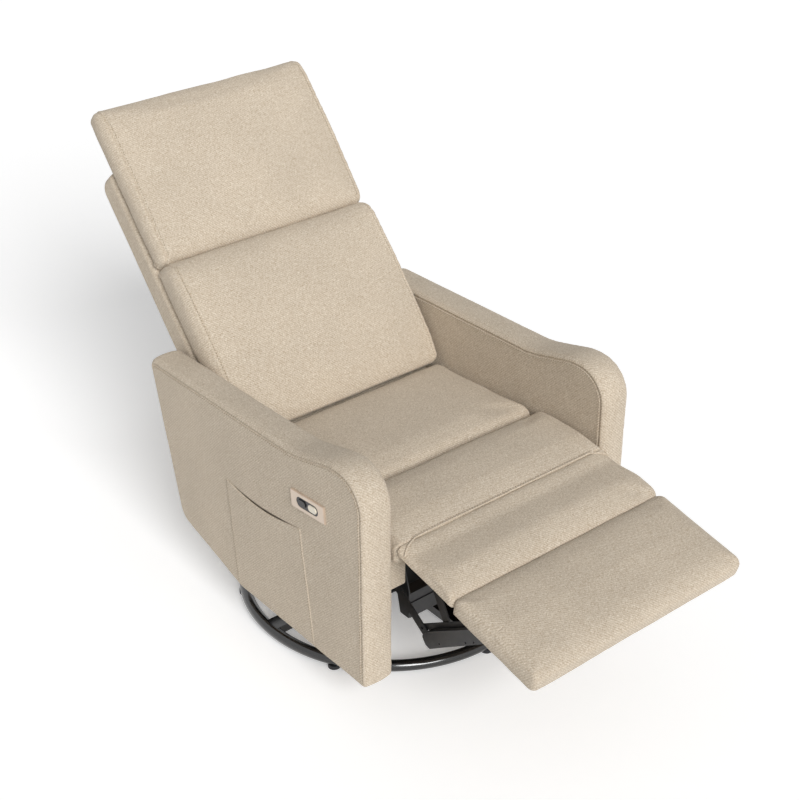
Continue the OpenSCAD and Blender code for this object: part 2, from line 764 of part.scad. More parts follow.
module swing_link(low, high) {
    x0 = side_in - side_plate_t - link_gap - swing_t;
    both() upright(x0, swing_t) difference() {
        bar2d(low, high, swing_r);
        hole2d(low, bolt_r + run_gap);
        hole2d(high, cross_tube_r + run_gap);
    }
}
module front_swing_links() {
    color("#232326") swing_link(front_swing_low, front_swing_high);
}
module rear_swing_links() {
    color("#232326") swing_link(rear_swing_low, rear_swing_high);
}
module seat_cross_tubes() {
    reach = side_in - side_plate_t - link_gap * 1.2;
    wall = tube_wall * 0.75;
    color("#232326") for (p = [front_swing_high, rear_swing_high]) difference() {
        rod(-reach, reach, p, cross_tube_r);
        rod(-reach - overrun, reach + overrun, p, cross_tube_r - wall);
    }
}
module seat_plates() {
    ear_front = -channel_front;
    ear_back = ear_front + channel_d;
    plate_top = seat_deck_z - seat_clear;
    waist = 36;
    neck = 30;
    nose = elbow_pivot + [-1.5 * link_r, link_r];
    tube_low = front_swing_high[1] - 2 * cross_tube_r;
    p = [[ear_front, channel_low], [ear_back, channel_low], [ear_back + round_r, drive_pivot[1] - waist],
        [drive_pivot[0] + neck, drive_pivot[1] - waist], [front_swing_high[0] - round_r, tube_low],
        [rear_swing_high[0] + round_r, tube_low], [back_pivot[0] + round_r, back_pivot[1] - bolt_r],
        [back_pivot[0] + 0.8 * round_r, plate_top], [-deck_front - 2 * link_r, plate_top],
        elbow_pivot + [1.5 * link_r, link_r], nose, [ear_front, channel_top + bolt_r]];
    radii = [small_r, small_r, round_r, neck, fillet_r, fillet_r, 0.8 * fillet_r, fillet_r, fillet_r,
        0.8 * fillet_r, 0.8 * fillet_r, 0.7 * fillet_r];
    color("#1c1c1f") both() upright(seat_plate_x, link_t) difference() {
        polygon(rounded(p, radii));
        hole2d(drive_pivot, drive_tube_r + run_gap);
        hole2d(elbow_pivot, rivet_r);
        hole2d(front_swing_high, cross_tube_r);
        hole2d(rear_swing_high, cross_tube_r);
        hole2d(back_pivot, bolt_r);
        for (s = [0.3, 0.62]) translate(front_swing_high * (1 - s) + rear_swing_high * s + [0, neck])
            circle(fillet_r, $fn = round_fn);
    }
}
module front_channel() {
    y0 = -channel_front;
    w = channel_wall;
    lip = 8;
    reach = seat_plate_x;
    color("#1c1c1f") {
        block(-reach, reach, y0, y0 + w, channel_low, channel_top);
        block(-reach, reach, y0, y0 + channel_d, channel_top - w, channel_top);
        block(-reach, reach, y0, y0 + channel_d, channel_low, channel_low + w);
        block(-reach, reach, y0 + channel_d - w, y0 + channel_d, channel_top - lip, channel_top);
        block(-reach, reach, y0 + channel_d - w, y0 + channel_d, channel_low, channel_low + lip);
        block(-reach, reach, y0 - w * 0.8, y0, channel_low + channel_h * 0.38, channel_low + channel_h * 0.62);
    }
}
module seat_side_rails() {
    color("#b08d5f") both() block(deck_half - side_rail_w, deck_half, -deck_front, deck_back,
        seat_deck_z - deck_t, seat_deck_z);
}
module seat_end_rails() {
    reach = deck_half - side_rail_w;
    color("#b08d5f") for (y = [-deck_front, deck_back - end_rail_w])
        block(-reach, reach, y, y + end_rail_w, seat_deck_z - deck_t, seat_deck_z);
}

// A zigzag spring between two rails, flat at the height z, running from y0 to y1
function zig(y0, y1, bends, half) = let (n = bends * 8)
    [for (i = [0:n]) [half * sin(360 * i / 16), y0 + (y1 - y0) * i / n]];
module zigzag(y0, y1, half, wire, bends) {
    inset = wire / 2 + soft_gap / 4;
    line = zig(y0 + inset, y1 - inset, bends, half);
    n = len(line);
    normal = [for (i = [0:n - 1]) let (d = unit(line[min(i + 1, n - 1)] - line[max(i - 1, 0)])) [-d[1], d[0]]];
    polygon(concat([for (i = [0:n - 1]) line[i] + normal[i] * wire / 2],
        [for (i = [n - 1:-1:0]) line[i] - normal[i] * wire / 2]));
}
module seat_springs() {
    reach = deck_half - side_rail_w - spring_half - deck_clear;
    color("#7b7d80") for (i = [0:spring_rows - 1]) translate([-reach + 2 * reach * i / (spring_rows - 1), 0,
        seat_deck_z - deck_t / 2]) linear_extrude(spring_wire)
        zigzag(-deck_front + end_rail_w, deck_back - end_rail_w, spring_half, spring_wire, 11);
}

// Upholstery of the seat

seat_heel_y = 149;
seat_back_y = 156;
seat_fall = 24;
pad_edge = 14;
draw_in = 3;
leg_crown = 7;
module seat_cushion() {
    top = seat_top_z;
    heel_rise = 44;
    heel_y = seat_heel_y - heel_rise * 1.4;
    p = [[-crease_y, seat_deck_z], [heel_y, seat_deck_z], [seat_heel_y, seat_deck_z + heel_rise],
        [seat_back_y, top - seat_fall], [-crease_y, top]];
    radii = [0.2 * seat_fall, 0.25 * seat_fall, seat_fall / 3, 1.1 * seat_fall, 0.67 * seat_fall];
    color("#cbbfa6") padded(p, radii, seat_w, pad_edge, seat_crown, draw_in, 6, 5);
}
module seat_front_roll() {
    y0 = -crease_y - soft_gap;
    nose_z = elbow_pivot[1] + link_r + layer;
    crest = 11;
    step_y = -deck_front - fillet_r * 0.8;
    p = [[y0, seat_deck_z], [y0, welt_z + crest], [-welt_y, welt_z + crest / 2], [-welt_y + 0.7 * crest, nose_z],
        [step_y, nose_z], [step_y, seat_deck_z]];
    radii = [small_r, round_r, round_r, pad_edge, small_r, small_r];
    color("#cbbfa6") padded(p, radii, seat_w, pad_edge, seat_crown, draw_in, 6, 5);
}
module seat_corner_pads() {
    ahead = 16;
    deep = 18;
    tall = 79;
    y0 = -channel_front - ahead;
    outer = seat_w / 2;
    inner = long_x + link_t + layer;
    high = elbow_pivot[1] + link_r + layer;
    low = high - tall;
    edge = deep / 3;
    p = [[y0, low], [y0 + deep, low], [y0 + deep, high], [y0, high]];
    color("#b9ac92") both() translate([(inner + outer) / 2, 0, 0])
        padded(p, [edge, edge, small_r, small_r], outer - inner, edge, 0, 0, 2, 3);
}
module flap_pad() {
    w = leg_pad_t;
    gap = soft_gap;
    p = [[-gap, gap], [-flap_len + gap / 2, 0], [-flap_len + w / 20, -0.9 * w], [-gap - w / 40, -0.75 * w]];
    color("#cbbfa6") translate([0, welt[0], welt[1]]) rotate([flap_slope, 0, 0])
        padded(p, [for (q = p) 0.3 * w], seat_w, 0.3 * w, leg_crown, draw_in, 6, 5);
}
module footrest_pad() {
    w = leg_pad_t;
    p = [[gap_at_crease, 0], [footrest_len, 0], [footrest_len - 0.15 * w, -w], [gap_at_crease, -w]];
    color("#cbbfa6") leg_place() padded(p, [0.37 * w, 0.48 * w, 0.35 * w, 0.3 * w], seat_w, 0.35 * w,
        leg_crown, draw_in, 6, 5);
}
gap_at_crease = soft_gap / 2;

// Actuator

module actuator_track() {
    y0 = -channel_front + overrun;
    h = track_h;
    slot = rail_half + seat_clear;
    color("#9fa2a6") difference() {
        block(-track_half, track_half, y0, track_rear, track_low, track_low + h);
        block(track_wall - track_half, track_half - track_wall, y0 - overrun, track_rear + overrun,
            track_low + track_wall, track_low + h - track_wall);
        block(-slot, slot, y0 - overrun, track_rear + overrun, track_low, track_low + h + overrun);
    }
}
module lead_screw() {
    color("#c9cbce") translate([0, track_rear, screw_z]) rotate([90, 0, 0])
        cylinder(h = channel_front + track_rear - gearbox_drop, r = screw_r, $fn = round_fn);
}
module drive_motor() {
    y0 = track_rear;
    z0 = track_low - gearbox_drop;
    mid_y = y0 + gearbox_len / 2;
    cap_z = z0 - motor_len - motor_cap_h;
    box = [[y0, z0], [y0 + gearbox_len, z0], [y0 + gearbox_len, z0 + gearbox_h], [y0, z0 + gearbox_h]];
    color("#26272a") {
        upright(-gearbox_w / 2, gearbox_w) polygon(rounded(box, [for (q = box) motor_cap_inset]));
        translate([0, mid_y, z0 - motor_len]) cylinder(h = motor_len, r = motor_r, $fn = round_fn);
        translate([0, mid_y, cap_z]) cylinder(h = motor_cap_h, r = motor_r - motor_cap_inset, $fn = round_fn);
    }
}
module motor_bracket() {
    y0 = track_rear + gearbox_len;
    half = gearbox_w / 4;
    t = link_t;
    collar = cross_tube_r + t;
    color("#1c1c1f") difference() {
        union() {
            block(-half, half, y0, front_swing_high[0], front_swing_high[1] - t, front_swing_high[1] + t);
            block(-half, half, y0, y0 + t, front_swing_high[1] - 3 * t, front_swing_high[1] + 3 * t);
            rod(-half, half, front_swing_high, collar);
        }
        rod(-half - overrun, half + overrun, front_swing_high, cross_tube_r);
    }
}
module drive_carriage() {
    half_y = track_half;
    y = carriage_y;
    top = track_low + track_h;
    inner = track_half - track_wall - 1.5 * seat_clear;
    cap = track_half - tube_wall;
    pin_half = lever_x + lever_t + lever_t;
    color("#e7e3d8") difference() {
        union() {
            block(-rail_half, rail_half, y - half_y, y + half_y, screw_z, top + seat_clear);
            block(-inner, inner, y - half_y, y + half_y, track_low + track_wall + fit_gap,
                top - track_wall - fit_gap);
            block(-cap, cap, y - half_y, y + half_y, top + fit_gap, carriage_z + 2 * carriage_pin_r);
            rod(-pin_half, pin_half, [y, carriage_z], carriage_pin_r);
        }
        translate([0, y + half_y + overrun, screw_z]) rotate([90, 0, 0])
            cylinder(h = 2 * half_y + 2 * overrun, r = screw_r + run_gap, $fn = round_fn);
    }
}

// Legrest linkage

module drive_tube() {
    arm_half = 12;
    slip = 3.2;
    arm_t = lever_t;
    arm_x = lever_x;
    reach = long_x - link_gap / 2;
    a = -90 - legrest_turn / 2;
    way = [cos(a), sin(a)];
    color("#232326") difference() {
        union() {
            rod(-reach, reach, drive_pivot, drive_tube_r);
            both() upright(arm_x, arm_t) difference() {
                polygon(link_outline([drive_pivot, drive_pivot + way * (drive_arm_r + carriage_pin_r)], arm_half));
                polygon(link_outline([drive_pivot + way * (drive_drop - carriage_pin_r),
                    drive_pivot + way * drive_arm_r], carriage_pin_r + slip));
            }
        }
        rod(-reach - overrun, reach + overrun, drive_pivot, drive_tube_r - tube_wall);
    }
}
module long_links() {
    color("#1c1c1f") both() {
        upright(long_x, link_t) difference() {
            bar2d(drive_pivot, bar_rear, link_r);
            hole2d(bar_rear, rivet_r + run_gap);
            hole2d(steer_rear, rivet_r);
        }
        rod(steer_x - link_gap / 2, long_x, steer_rear, rivet_r);
        rod(long_x - link_gap / 2, long_x, drive_pivot, drive_tube_r);
    }
}
module elbow_links() {
    color("#1c1c1f") both() {
        upright(elbow_x, link_t) difference() {
            polygon(link_outline([elbow_pivot, elbow_knee, elbow_end], link_r));
            hole2d(elbow_pivot, rivet_r + run_gap);
        }
        rod(elbow_x + link_t, bar_x + link_t, elbow_end, rivet_r);
    }
}
module seat_rivets() {
    color("#8d8f93") both() {
        rod(seat_plate_x, elbow_x + link_t + link_gap / 2, elbow_pivot, rivet_r);
        rod(bracket_x - tube_wall, seat_plate_x + link_t, back_pivot, bolt_r);
    }
}
module footrest_bars() {
    half = bar_web / 2;
    tip = 14;
    p = [[-tip, -half * 0.5], [-tip / 3, -half], [3 * tip, -half * 0.9], [bar_len + tip / 2, -half * 0.62],
        [bar_len + tip, 0], [bar_len + tip / 3, half * 0.62], [bar_len - 3.3 * tip, half], [1.6 * tip, half],
        [0.7 * tip, half * 0.7], [-tip, half * 0.5]];
    corner_r = 8;
    radii = [for (i = [0:9]) i == 2 ? 3 * corner_r : corner_r];
    a = bar_angle - 180;
    color("#1c1c1f") both() difference() {
        union() {
            translate([0, bar_rear[0], bar_rear[1]]) rotate([a, 0, 0]) mirror([0, 1, 0]) {
                upright(bar_x, link_t) polygon(rounded(p, radii));
                block(bar_x, bar_x + link_t + bar_flange, 1.9 * tip, bar_len - 3.7 * tip, half - link_t, half);
            }
            rod(long_x - link_gap / 2, bar_x, bar_rear, rivet_r);
        }
        rod(bar_x - overrun, bar_x + link_t + overrun, elbow_end, rivet_r + run_gap);
        rod(bar_x - overrun, bar_x + link_t + overrun, bar_front, rivet_r + run_gap);
        for (s = [0.16, 0.56, 0.68]) rod(bar_x - overrun, bar_x + link_t + overrun,
            bar_rear + bar_vector * s + turned([0, half / 2], bar_angle), 0.7 * rivet_r);
    }
}
module steering_links() {
    color("#1c1c1f") both() upright(steer_x, link_t) difference() {
        bar2d(steer_rear, steer_front, steer_r);
        hole2d(steer_rear, rivet_r + run_gap);
        hole2d(steer_front, rivet_r + run_gap);
    }
}
board_t = 9;
board_from = 60;
board_inset = 22;
board_to = footrest_len - board_inset;
bracket_len = 80;
module footrest_brackets() {
    k = turned(bar_front - leg_crease, -footrest_slope);
    c = turned(steer_front - leg_crease, -footrest_slope);
    local_k = [-k[0], k[1]];
    local_c = [-c[0], c[1]];
    seat_z = -leg_pad_t - board_t;
    pivot_r = 12;
    p = [[board_from + small_r, seat_z], [board_from + bracket_len, seat_z], local_k + [pivot_r, -0.7 * pivot_r],
        local_k - [0, pivot_r], local_c - [0.8 * pivot_r, pivot_r / 3], local_c + [-pivot_r / 2, 0.6 * pivot_r]];
    radii = [small_r, 2 * small_r, 0.75 * pivot_r, 0.8 * pivot_r, 0.6 * pivot_r, small_r];
    foot_w = 20;
    color("#1c1c1f") both() {
        leg_place() {
            upright(long_x, link_t) difference() {
                polygon(rounded(p, radii));
                hole2d(local_k, rivet_r);
                hole2d(local_c, rivet_r);
            }
            block(long_x, long_x + foot_w, board_from + link_t, board_from + bracket_len - link_t,
                seat_z - link_t, seat_z);
        }
        rod(long_x, bar_x + link_t + link_gap / 2, bar_front, rivet_r);
        rod(steer_x - link_gap / 2, long_x + link_t, steer_front, rivet_r);
    }
}
module footrest_board() {
    half = seat_w / 2 - pad_edge;
    color("#b08d5f") leg_place()
        block(-half, half, board_from, board_to, -leg_pad_t - board_t, -leg_pad_t);
}

// Back

module back_brackets() {
    foot = back_pivot_local;
    boss = 12;
    bracket_end = 190;
    front_edge = shell_face - boss;
    p = [foot - [boss / 6, 1.1 * boss], foot + [3.3 * boss, -2.2 * boss],
        [bracket_end, front_edge - frame_depth - boss], [bracket_end, front_edge],
        [1.7 * boss, front_edge], foot + [1.2 * boss, boss], foot + [-boss, boss]];
    radii = [boss, 1.7 * boss, 0.7 * boss, 0.7 * boss, 1.7 * boss, boss, boss];
    x0 = bracket_x;
    color("#232326") both() back_place() upright(x0, link_t) difference() {
        polygon(rounded(p, radii));
        hole2d(foot, bolt_r + run_gap);
        for (s = [0.58, 0.87]) hole2d([s * bracket_end, front_edge - frame_depth / 2], rivet_r);
    }
}
stile_w = 34;
back_rail_h = 44;
stile_out = bracket_x - soft_gap;
frame_low = 60;
stuffing_t = 8;
frame_face = shell_face - stuffing_t;
frame_top = cavity_end - overrun;
module back_stiles() {
    color("#b08d5f") back_place() both() block(stile_out - stile_w, stile_out, frame_low, frame_top,
        frame_face - frame_depth, frame_face);
}
module back_rails() {
    reach = stile_out - stile_w;
    color("#b08d5f") back_place() for (s = [frame_low, (frame_low + cavity_end) / 2, frame_top - back_rail_h])
        block(-reach, reach, s, s + back_rail_h, frame_face - frame_depth, frame_face);
}
module back_springs() {
    reach = stile_out - stile_w;
    mid = (frame_low + cavity_end) / 2;
    span = reach - spring_half - round_r;
    color("#7b7d80") back_place() for (i = [0:3]) {
        translate([span * (2 * i / 3 - 1), 0, frame_face - frame_depth / 2]) linear_extrude(spring_wire) {
            zigzag(frame_low + back_rail_h, mid, spring_half, spring_wire, 9);
            zigzag(mid + back_rail_h, frame_top - back_rail_h, spring_half, spring_wire, 9);
        }
    }
}
back_edge = 24;
back_crown = 8;
face_rise = 6;
lumbar_bulge = 16;
module back_shell() {
    back_face = shell_face - shell_t;
    p = [[0, back_face], [shell_len, back_face], [shell_len, shell_face], [0, shell_face]];
    radii = [back_edge, 1.3 * back_edge, back_edge / 2, back_edge / 3];
    color("#c4b89f") back_place() difference() {
        padded(p, radii, back_w + 2 * overrun, back_edge, 0, 0, 2, 5);
        block(-cavity_half, cavity_half, -back_edge, cavity_end, back_face + shell_skin, shell_face + overrun);
    }
}
module lumbar_cushion() {
    p = [[back_shift, -back_pad_t], [back_shift, face_rise], [0.42 * back_split, lumbar_bulge],
        [back_split, face_rise], [back_split, -back_pad_t]];
    radii = [0.67 * back_edge, 1.5 * back_edge, back_split, 1.5 * back_edge, back_edge / 3];
    color("#cbbfa6") back_place() padded(p, radii, back_w, back_edge, back_crown, draw_in, 6, 5);
}
module head_cushion() {
    y0 = back_split + soft_gap;
    p = [[y0, -back_pad_t], [y0, face_rise / 2], [0.74 * back_len, face_rise / 3],
        [back_len, -0.67 * face_rise], [back_len - face_rise, -back_pad_t]];
    radii = [back_edge / 3, 1.5 * back_edge, back_len / 2, 1.3 * back_edge, 0.67 * back_edge];
    color("#cbbfa6") back_place() padded(p, radii, back_w, back_edge, 0.75 * back_crown, draw_in, 6, 5);
}

base_ring();
base_bars();
floor_glides();
lower_swivel_plate();
king_bolt();
bearing_balls();
bearing_cage();
upper_swivel_plate();
swivel_crossmembers();
rocker_rails();
rocker_springs();
rocker_cams();
spring_bars();
frame_cross_rails();
frame_side_plates();
swing_bolts();
arm_bolts();
arm_panels();
arm_left();
arm_right();
side_pocket();
control_plate();
switch_housing();
rear_rail();
power_inlet();
front_swing_links();
rear_swing_links();
seat_plates();
seat_rivets();
front_channel();
seat_cross_tubes();
seat_side_rails();
seat_end_rails();
seat_springs();
seat_cushion();
seat_front_roll();
seat_corner_pads();
actuator_track();
lead_screw();
drive_motor();
motor_bracket();
drive_carriage();
drive_tube();
long_links();
elbow_links();
footrest_bars();
steering_links();
footrest_brackets();
footrest_board();
footrest_pad();
flap_pad();
back_brackets();
back_stiles();
back_rails();
back_springs();
back_shell();
lumbar_cushion();
head_cushion();
open_button();
close_button();
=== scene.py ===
# %% [markdown]
# # A power swivel rocker recliner
#
# The chair is shown fully reclined with its legrest out. Its steel, wood and plastic parts come
# from the CAD model and only get a finish here. Everything upholstered is modelled again, because
# cloth over foam has a crown, pulled-in seams and stitches that a plain solid can't show. So are
# the four rocker springs.
# All lengths in the lists are millimetres, and MM turns them to Blender's metres.

# %% Load the chair
import json
import math

import bmesh
import bpy
import numpy as np
from mathutils import Matrix, Vector, noise
from mathutils.bvhtree import BVHTree
from mathutils.kdtree import KDTree


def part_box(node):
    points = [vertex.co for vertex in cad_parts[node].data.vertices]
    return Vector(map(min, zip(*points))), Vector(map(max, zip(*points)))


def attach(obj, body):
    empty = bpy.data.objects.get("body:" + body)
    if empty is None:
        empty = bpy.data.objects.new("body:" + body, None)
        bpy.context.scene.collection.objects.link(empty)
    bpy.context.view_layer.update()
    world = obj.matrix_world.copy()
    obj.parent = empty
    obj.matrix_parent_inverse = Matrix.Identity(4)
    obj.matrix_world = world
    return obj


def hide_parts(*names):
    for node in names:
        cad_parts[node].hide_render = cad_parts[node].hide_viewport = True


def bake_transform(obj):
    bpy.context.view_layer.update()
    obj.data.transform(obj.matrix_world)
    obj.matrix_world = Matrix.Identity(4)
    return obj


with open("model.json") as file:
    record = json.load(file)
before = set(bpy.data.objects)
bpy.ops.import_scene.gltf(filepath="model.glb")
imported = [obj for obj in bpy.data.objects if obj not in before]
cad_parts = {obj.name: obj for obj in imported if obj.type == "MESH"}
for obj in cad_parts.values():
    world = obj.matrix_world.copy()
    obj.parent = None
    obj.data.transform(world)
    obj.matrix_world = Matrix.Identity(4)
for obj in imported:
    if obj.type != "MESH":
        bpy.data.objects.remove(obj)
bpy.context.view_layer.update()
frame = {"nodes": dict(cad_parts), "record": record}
MM = 0.001

# %% [markdown]
# ## Camera
# A product photographer stands well back with a long lens, so the chair's lines stay nearly
# parallel. The camera looks down by about 31 degrees from the chair's right front corner. A long
# lens from 3.5 metres gives the same convergence as the picture.

# %% Camera
LENS_MM, SENSOR_MM = 72.39, 36
CAMERA_AT = (-1.8844, -2.3355, 2.2698)
CAMERA_TARGET = (0.0303, 0, 0.4694)

camera_data = bpy.data.cameras.new("camera")
camera_data.sensor_width = SENSOR_MM
camera_data.lens = LENS_MM
camera = bpy.data.objects.new("camera", camera_data)
bpy.context.scene.collection.objects.link(camera)
camera.location = CAMERA_AT
aim = Vector(CAMERA_TARGET) - camera.location
camera.rotation_euler = aim.to_track_quat("-Z", "Y").to_euler()
bpy.context.scene.camera = camera
print("camera is", round(aim.length, 3), "m from its target")

# %% [markdown]
# ## Colours and nodes
# Colours are picked as the hex values that a paint chart gives. Shaders work in linear light, so
# one function converts them. A second one fills a node's inputs, and a third one adds a node.
# A name that the node has as a property is one of its settings, and every other is an input.


# %% Helpers for materials
def paint(code):
    """An sRGB hex colour as linear red, green, blue and alpha."""
    parts = [int(code[i:i + 2], 16) / 255 for i in (1, 3, 5)]
    return tuple(c / 12.92 if c <= 0.04045 else ((c + 0.055) / 1.055) ** 2.4 for c in parts) + (1,)


def fill_inputs(tree, node, *values, **named):
    """Fills inputs in order, by name, or by number as in i6. A node stands for its first output."""
    pairs = list(zip(node.inputs, values))
    for key, value in named.items():
        place = int(key[1:]) if key[1:].isdigit() else key.replace("_", " ")
        pairs.append((node.inputs[place], value))
    for socket, value in pairs:
        if isinstance(value, bpy.types.Node):
            value = value.outputs[0]
        if isinstance(value, bpy.types.NodeSocket):
            tree.links.new(value, socket)
        else:
            socket.default_value = value


def add_node(tree, kind, *values, **named):
    """Adds a shader node, with its settings and its inputs."""
    node = tree.nodes.new("ShaderNode" + kind)
    for key in [key for key in named if hasattr(node, key)]:
        setattr(node, key, named.pop(key))
    fill_inputs(tree, node, *values, **named)
    return node


def start_material(name):
    """A new material with its node tree and its shader."""
    material = bpy.data.materials.new(name)
    material.use_nodes = True
    return material, material.node_tree, material.node_tree.nodes["Principled BSDF"]


def set_ramp(node, stops):
    """Puts the colours of a ramp at their places."""
    ramp = node.color_ramp
    while len(ramp.elements) < len(stops):
        ramp.elements.new(0.5)
    for element, (place, code) in zip(ramp.elements, stops):
        element.position = place
        element.color = paint(code)


# %% [markdown]
# ## Oat tweed
# The cover is a polyester tweed in a two-and-two twill: each slubbed yarn goes over two others and
# under two, one step further along in every row, so fine diagonal ribs run over the cloth. Cream
# yarn crosses a taupe one, and from across a room it reads as one warm beige with a fleck.
# The pattern needs two directions on the surface. They are picked from the way that the surface
# faces: sideways faces take the chair's depth and height. All others take its width and one of
# eight slopes in steps of 45 degrees, the nearest to their own, so no unwrapping is needed.

# %% Directions of the cloth
SIDEWAYS = 0.72
SLOPE_STEP = math.pi / 4


def cloth_directions(tree, place):
    """Two lengths along the cloth, in metres, for the weft and for the warp."""
    n = add_node(tree, "SeparateXYZ", add_node(tree, "TexCoord").outputs["Normal"]).outputs
    p = add_node(tree, "SeparateXYZ", place).outputs
    forwards = add_node(tree, "Math", n[1], -1.0, operation="MULTIPLY")
    slope = add_node(tree, "Math", n[2], forwards, operation="ARCTAN2")
    steps = add_node(tree, "Math", slope, SLOPE_STEP, operation="DIVIDE")
    nearest = add_node(tree, "Math", steps, operation="ROUND")
    slope = add_node(tree, "Math", nearest, SLOPE_STEP, operation="MULTIPLY")
    runs = []
    for length, wave in ((p[1], "SINE"), (p[2], "COSINE")):
        share = add_node(tree, "Math", slope, operation=wave)
        runs.append(add_node(tree, "Math", length, share, operation="MULTIPLY"))
    up = add_node(tree, "Math", *runs, operation="ADD")
    turn = add_node(tree, "Math", n[0], operation="ABSOLUTE")
    sideways = add_node(tree, "Math", turn, SIDEWAYS, operation="GREATER_THAN")
    weft = add_node(tree, "Mix", i0=sideways, i2=p[0], i3=p[1])
    warp = add_node(tree, "Mix", i0=sideways, i2=up, i3=p[2])
    return weft, warp


# %% [markdown]
# ### Yarns
# Each yarn is a low ridge that dips under the ones it crosses, and a slow drift keeps its line from
# being ruled. A step count along each row says which of the two yarns lies on top. The yarns are
# drawn 1.65 millimetres wide, about as wide as the ribs that can be seen in the picture.

# %% Yarns
YARN_MM = 1.65
SLUB_MM = 3.4
DRIFTS = (5.0, -4.0)


def half_wave(tree, share):
    """A hill that rises and falls once while its share goes from 0 to 1."""
    turn = add_node(tree, "Math", share, math.pi, operation="MULTIPLY")
    return add_node(tree, "Math", turn, operation="SINE")


def twill(tree, place):
    """The yarn counts both ways, which yarn is on top, and how high it stands."""
    drift = add_node(tree, "TexNoise", Vector=place, Scale=45.0, Detail=3.0)
    counts, parts = [], []
    for length, sway in zip(cloth_directions(tree, place), DRIFTS):
        shift = add_node(tree, "Math", drift, sway, operation="MULTIPLY")
        yarns = add_node(tree, "Math", length, 1 / (YARN_MM * MM), shift, operation="MULTIPLY_ADD")
        counts.append(add_node(tree, "Math", yarns, operation="FLOOR"))
        parts.append(add_node(tree, "Math", yarns, operation="FRACT"))
    row = add_node(tree, "Math", *counts, operation="ADD")
    step = add_node(tree, "Math", row, 4.0, operation="FLOORED_MODULO")
    over = add_node(tree, "Math", step, 1.5, operation="LESS_THAN")
    hills = []
    for across, ahead, begin in ((parts[0], parts[1], 0.0), (parts[1], parts[0], -2.0)):
        ahead = add_node(tree, "Math", ahead, step, operation="ADD")
        ahead = add_node(tree, "Math", ahead, begin, operation="ADD")
        share = add_node(tree, "Math", ahead, 0.5, operation="MULTIPLY")
        rise = add_node(tree, "Math", half_wave(tree, share), 0.55, 0.45, operation="MULTIPLY_ADD")
        hills.append(add_node(tree, "Math", half_wave(tree, across), rise, operation="MULTIPLY"))
    height = add_node(tree, "Mix", i0=over, i2=hills[1], i3=hills[0])
    return counts, over, height


# %% Oat tweed
WARM_YARN = [(0.1, "#baa892"), (0.5, "#d1c3af"), (0.9, "#e8dece")]
COOL_YARN = [(0.1, "#ab9983"), (0.5, "#c5b6a2"), (0.9, "#dbcfbe")]


def tweed(name):
    """Two-and-two twill of slubbed yarns. Its ribs are in the bump; its fleck and a painted shade in the
    dips are in the colour.
    """
    material, tree, shader = start_material(name)
    place = add_node(tree, "TexCoord").outputs["Object"]
    counts, over, height = twill(tree, place)
    slub = add_node(tree, "TexNoise", Vector=place, Scale=1 / (SLUB_MM * MM), Detail=2.0)
    cell = add_node(tree, "CombineXYZ", *counts)
    fleck = add_node(tree, "TexWhiteNoise", Vector=cell, noise_dimensions="2D")
    slubs = add_node(tree, "Math", slub, 0.9, -0.15, operation="MULTIPLY_ADD")
    tone = add_node(tree, "Math", fleck, 0.4, slubs, operation="MULTIPLY_ADD")
    warm, cool = [add_node(tree, "ValToRGB", Fac=tone) for _ in range(2)]
    set_ramp(warm, WARM_YARN)
    set_ramp(cool, COOL_YARN)
    yarn = add_node(tree, "Mix", i0=over, i6=cool, i7=warm, data_type="RGBA")
    # The colour is darkened where a yarn dips under the one it crosses: painted shade in the dips between
    # the ribs. A broad wash of random tone is laid over it as well.
    painted_dip_shade = add_node(tree, "MapRange", Value=height, From_Min=0.0, From_Max=0.6, To_Min=0.7, To_Max=1.0)
    broad = add_node(tree, "TexNoise", Vector=place, Scale=7.0, Detail=3.0)
    wash = add_node(tree, "MapRange", Value=broad, From_Min=0.3, From_Max=0.7, To_Min=0.965,
                    To_Max=1.035)
    painted_shade_and_wash = add_node(tree, "Math", painted_dip_shade, wash, operation="MULTIPLY")
    final = add_node(tree, "VectorMath", i0=yarn.outputs[2], i3=painted_shade_and_wash, operation="SCALE")
    heights = add_node(tree, "Math", slub, 0.7, height, operation="MULTIPLY_ADD")
    bump = add_node(tree, "Bump", Height=heights, Distance=0.0008, Strength=0.5)
    fill_inputs(tree, shader, Base_Color=final, Normal=bump, Roughness=0.92, Specular_IOR_Level=0.2,
                Sheen_Weight=0.2, Sheen_Roughness=0.5, Sheen_Tint=paint("#f1ebe0"))
    return material


cloth = tweed("oat_tweed")
thread, tree, shader = start_material("polyester_thread")
fill_inputs(tree, shader, Base_Color=paint("#8d7f69"), Roughness=0.6)
print("tweed nodes", len(cloth.node_tree.nodes))

# %% [markdown]
# ## Painted steel
# The base and the linkage are mild steel under a baked powder coat. The coat levels out into a
# faint orange peel, about 2 millimetres from bump to bump, and the ring is glossier than the links
# because it is the part that shows. Rivets and bolts are zinc plated, so they are grey and satin.


# %% Painted and plated metal
def coated(name, code, roughness, metallic=0.0, peel_mm=2.0, peel=0.06, clear=0.0):
    """A hard coat over metal with a fine ripple, and a little rub that changes its gloss."""
    material, tree, shader = start_material(name)
    place = add_node(tree, "TexCoord").outputs["Object"]
    ripple = add_node(tree, "TexNoise", Vector=place, Scale=1 / (peel_mm * MM), Detail=1.0)
    bump = add_node(tree, "Bump", Height=ripple, Distance=0.0003, Strength=peel)
    smear = add_node(tree, "TexNoise", Vector=place, Scale=38.0, Detail=4.0)
    gloss = add_node(tree, "MapRange", Value=smear, From_Min=0.3, From_Max=0.7,
                     To_Min=roughness - 0.04, To_Max=roughness + 0.07)
    light = paint(code)
    shadow = tuple(0.82 * c for c in light[:3]) + (1,)
    mixed = add_node(tree, "Mix", i0=smear, i6=shadow, i7=light, data_type="RGBA")
    fill_inputs(tree, shader, Base_Color=mixed.outputs[2], Normal=bump, Roughness=gloss,
                Metallic=metallic, Coat_Weight=clear, Coat_Roughness=0.12)
    return material


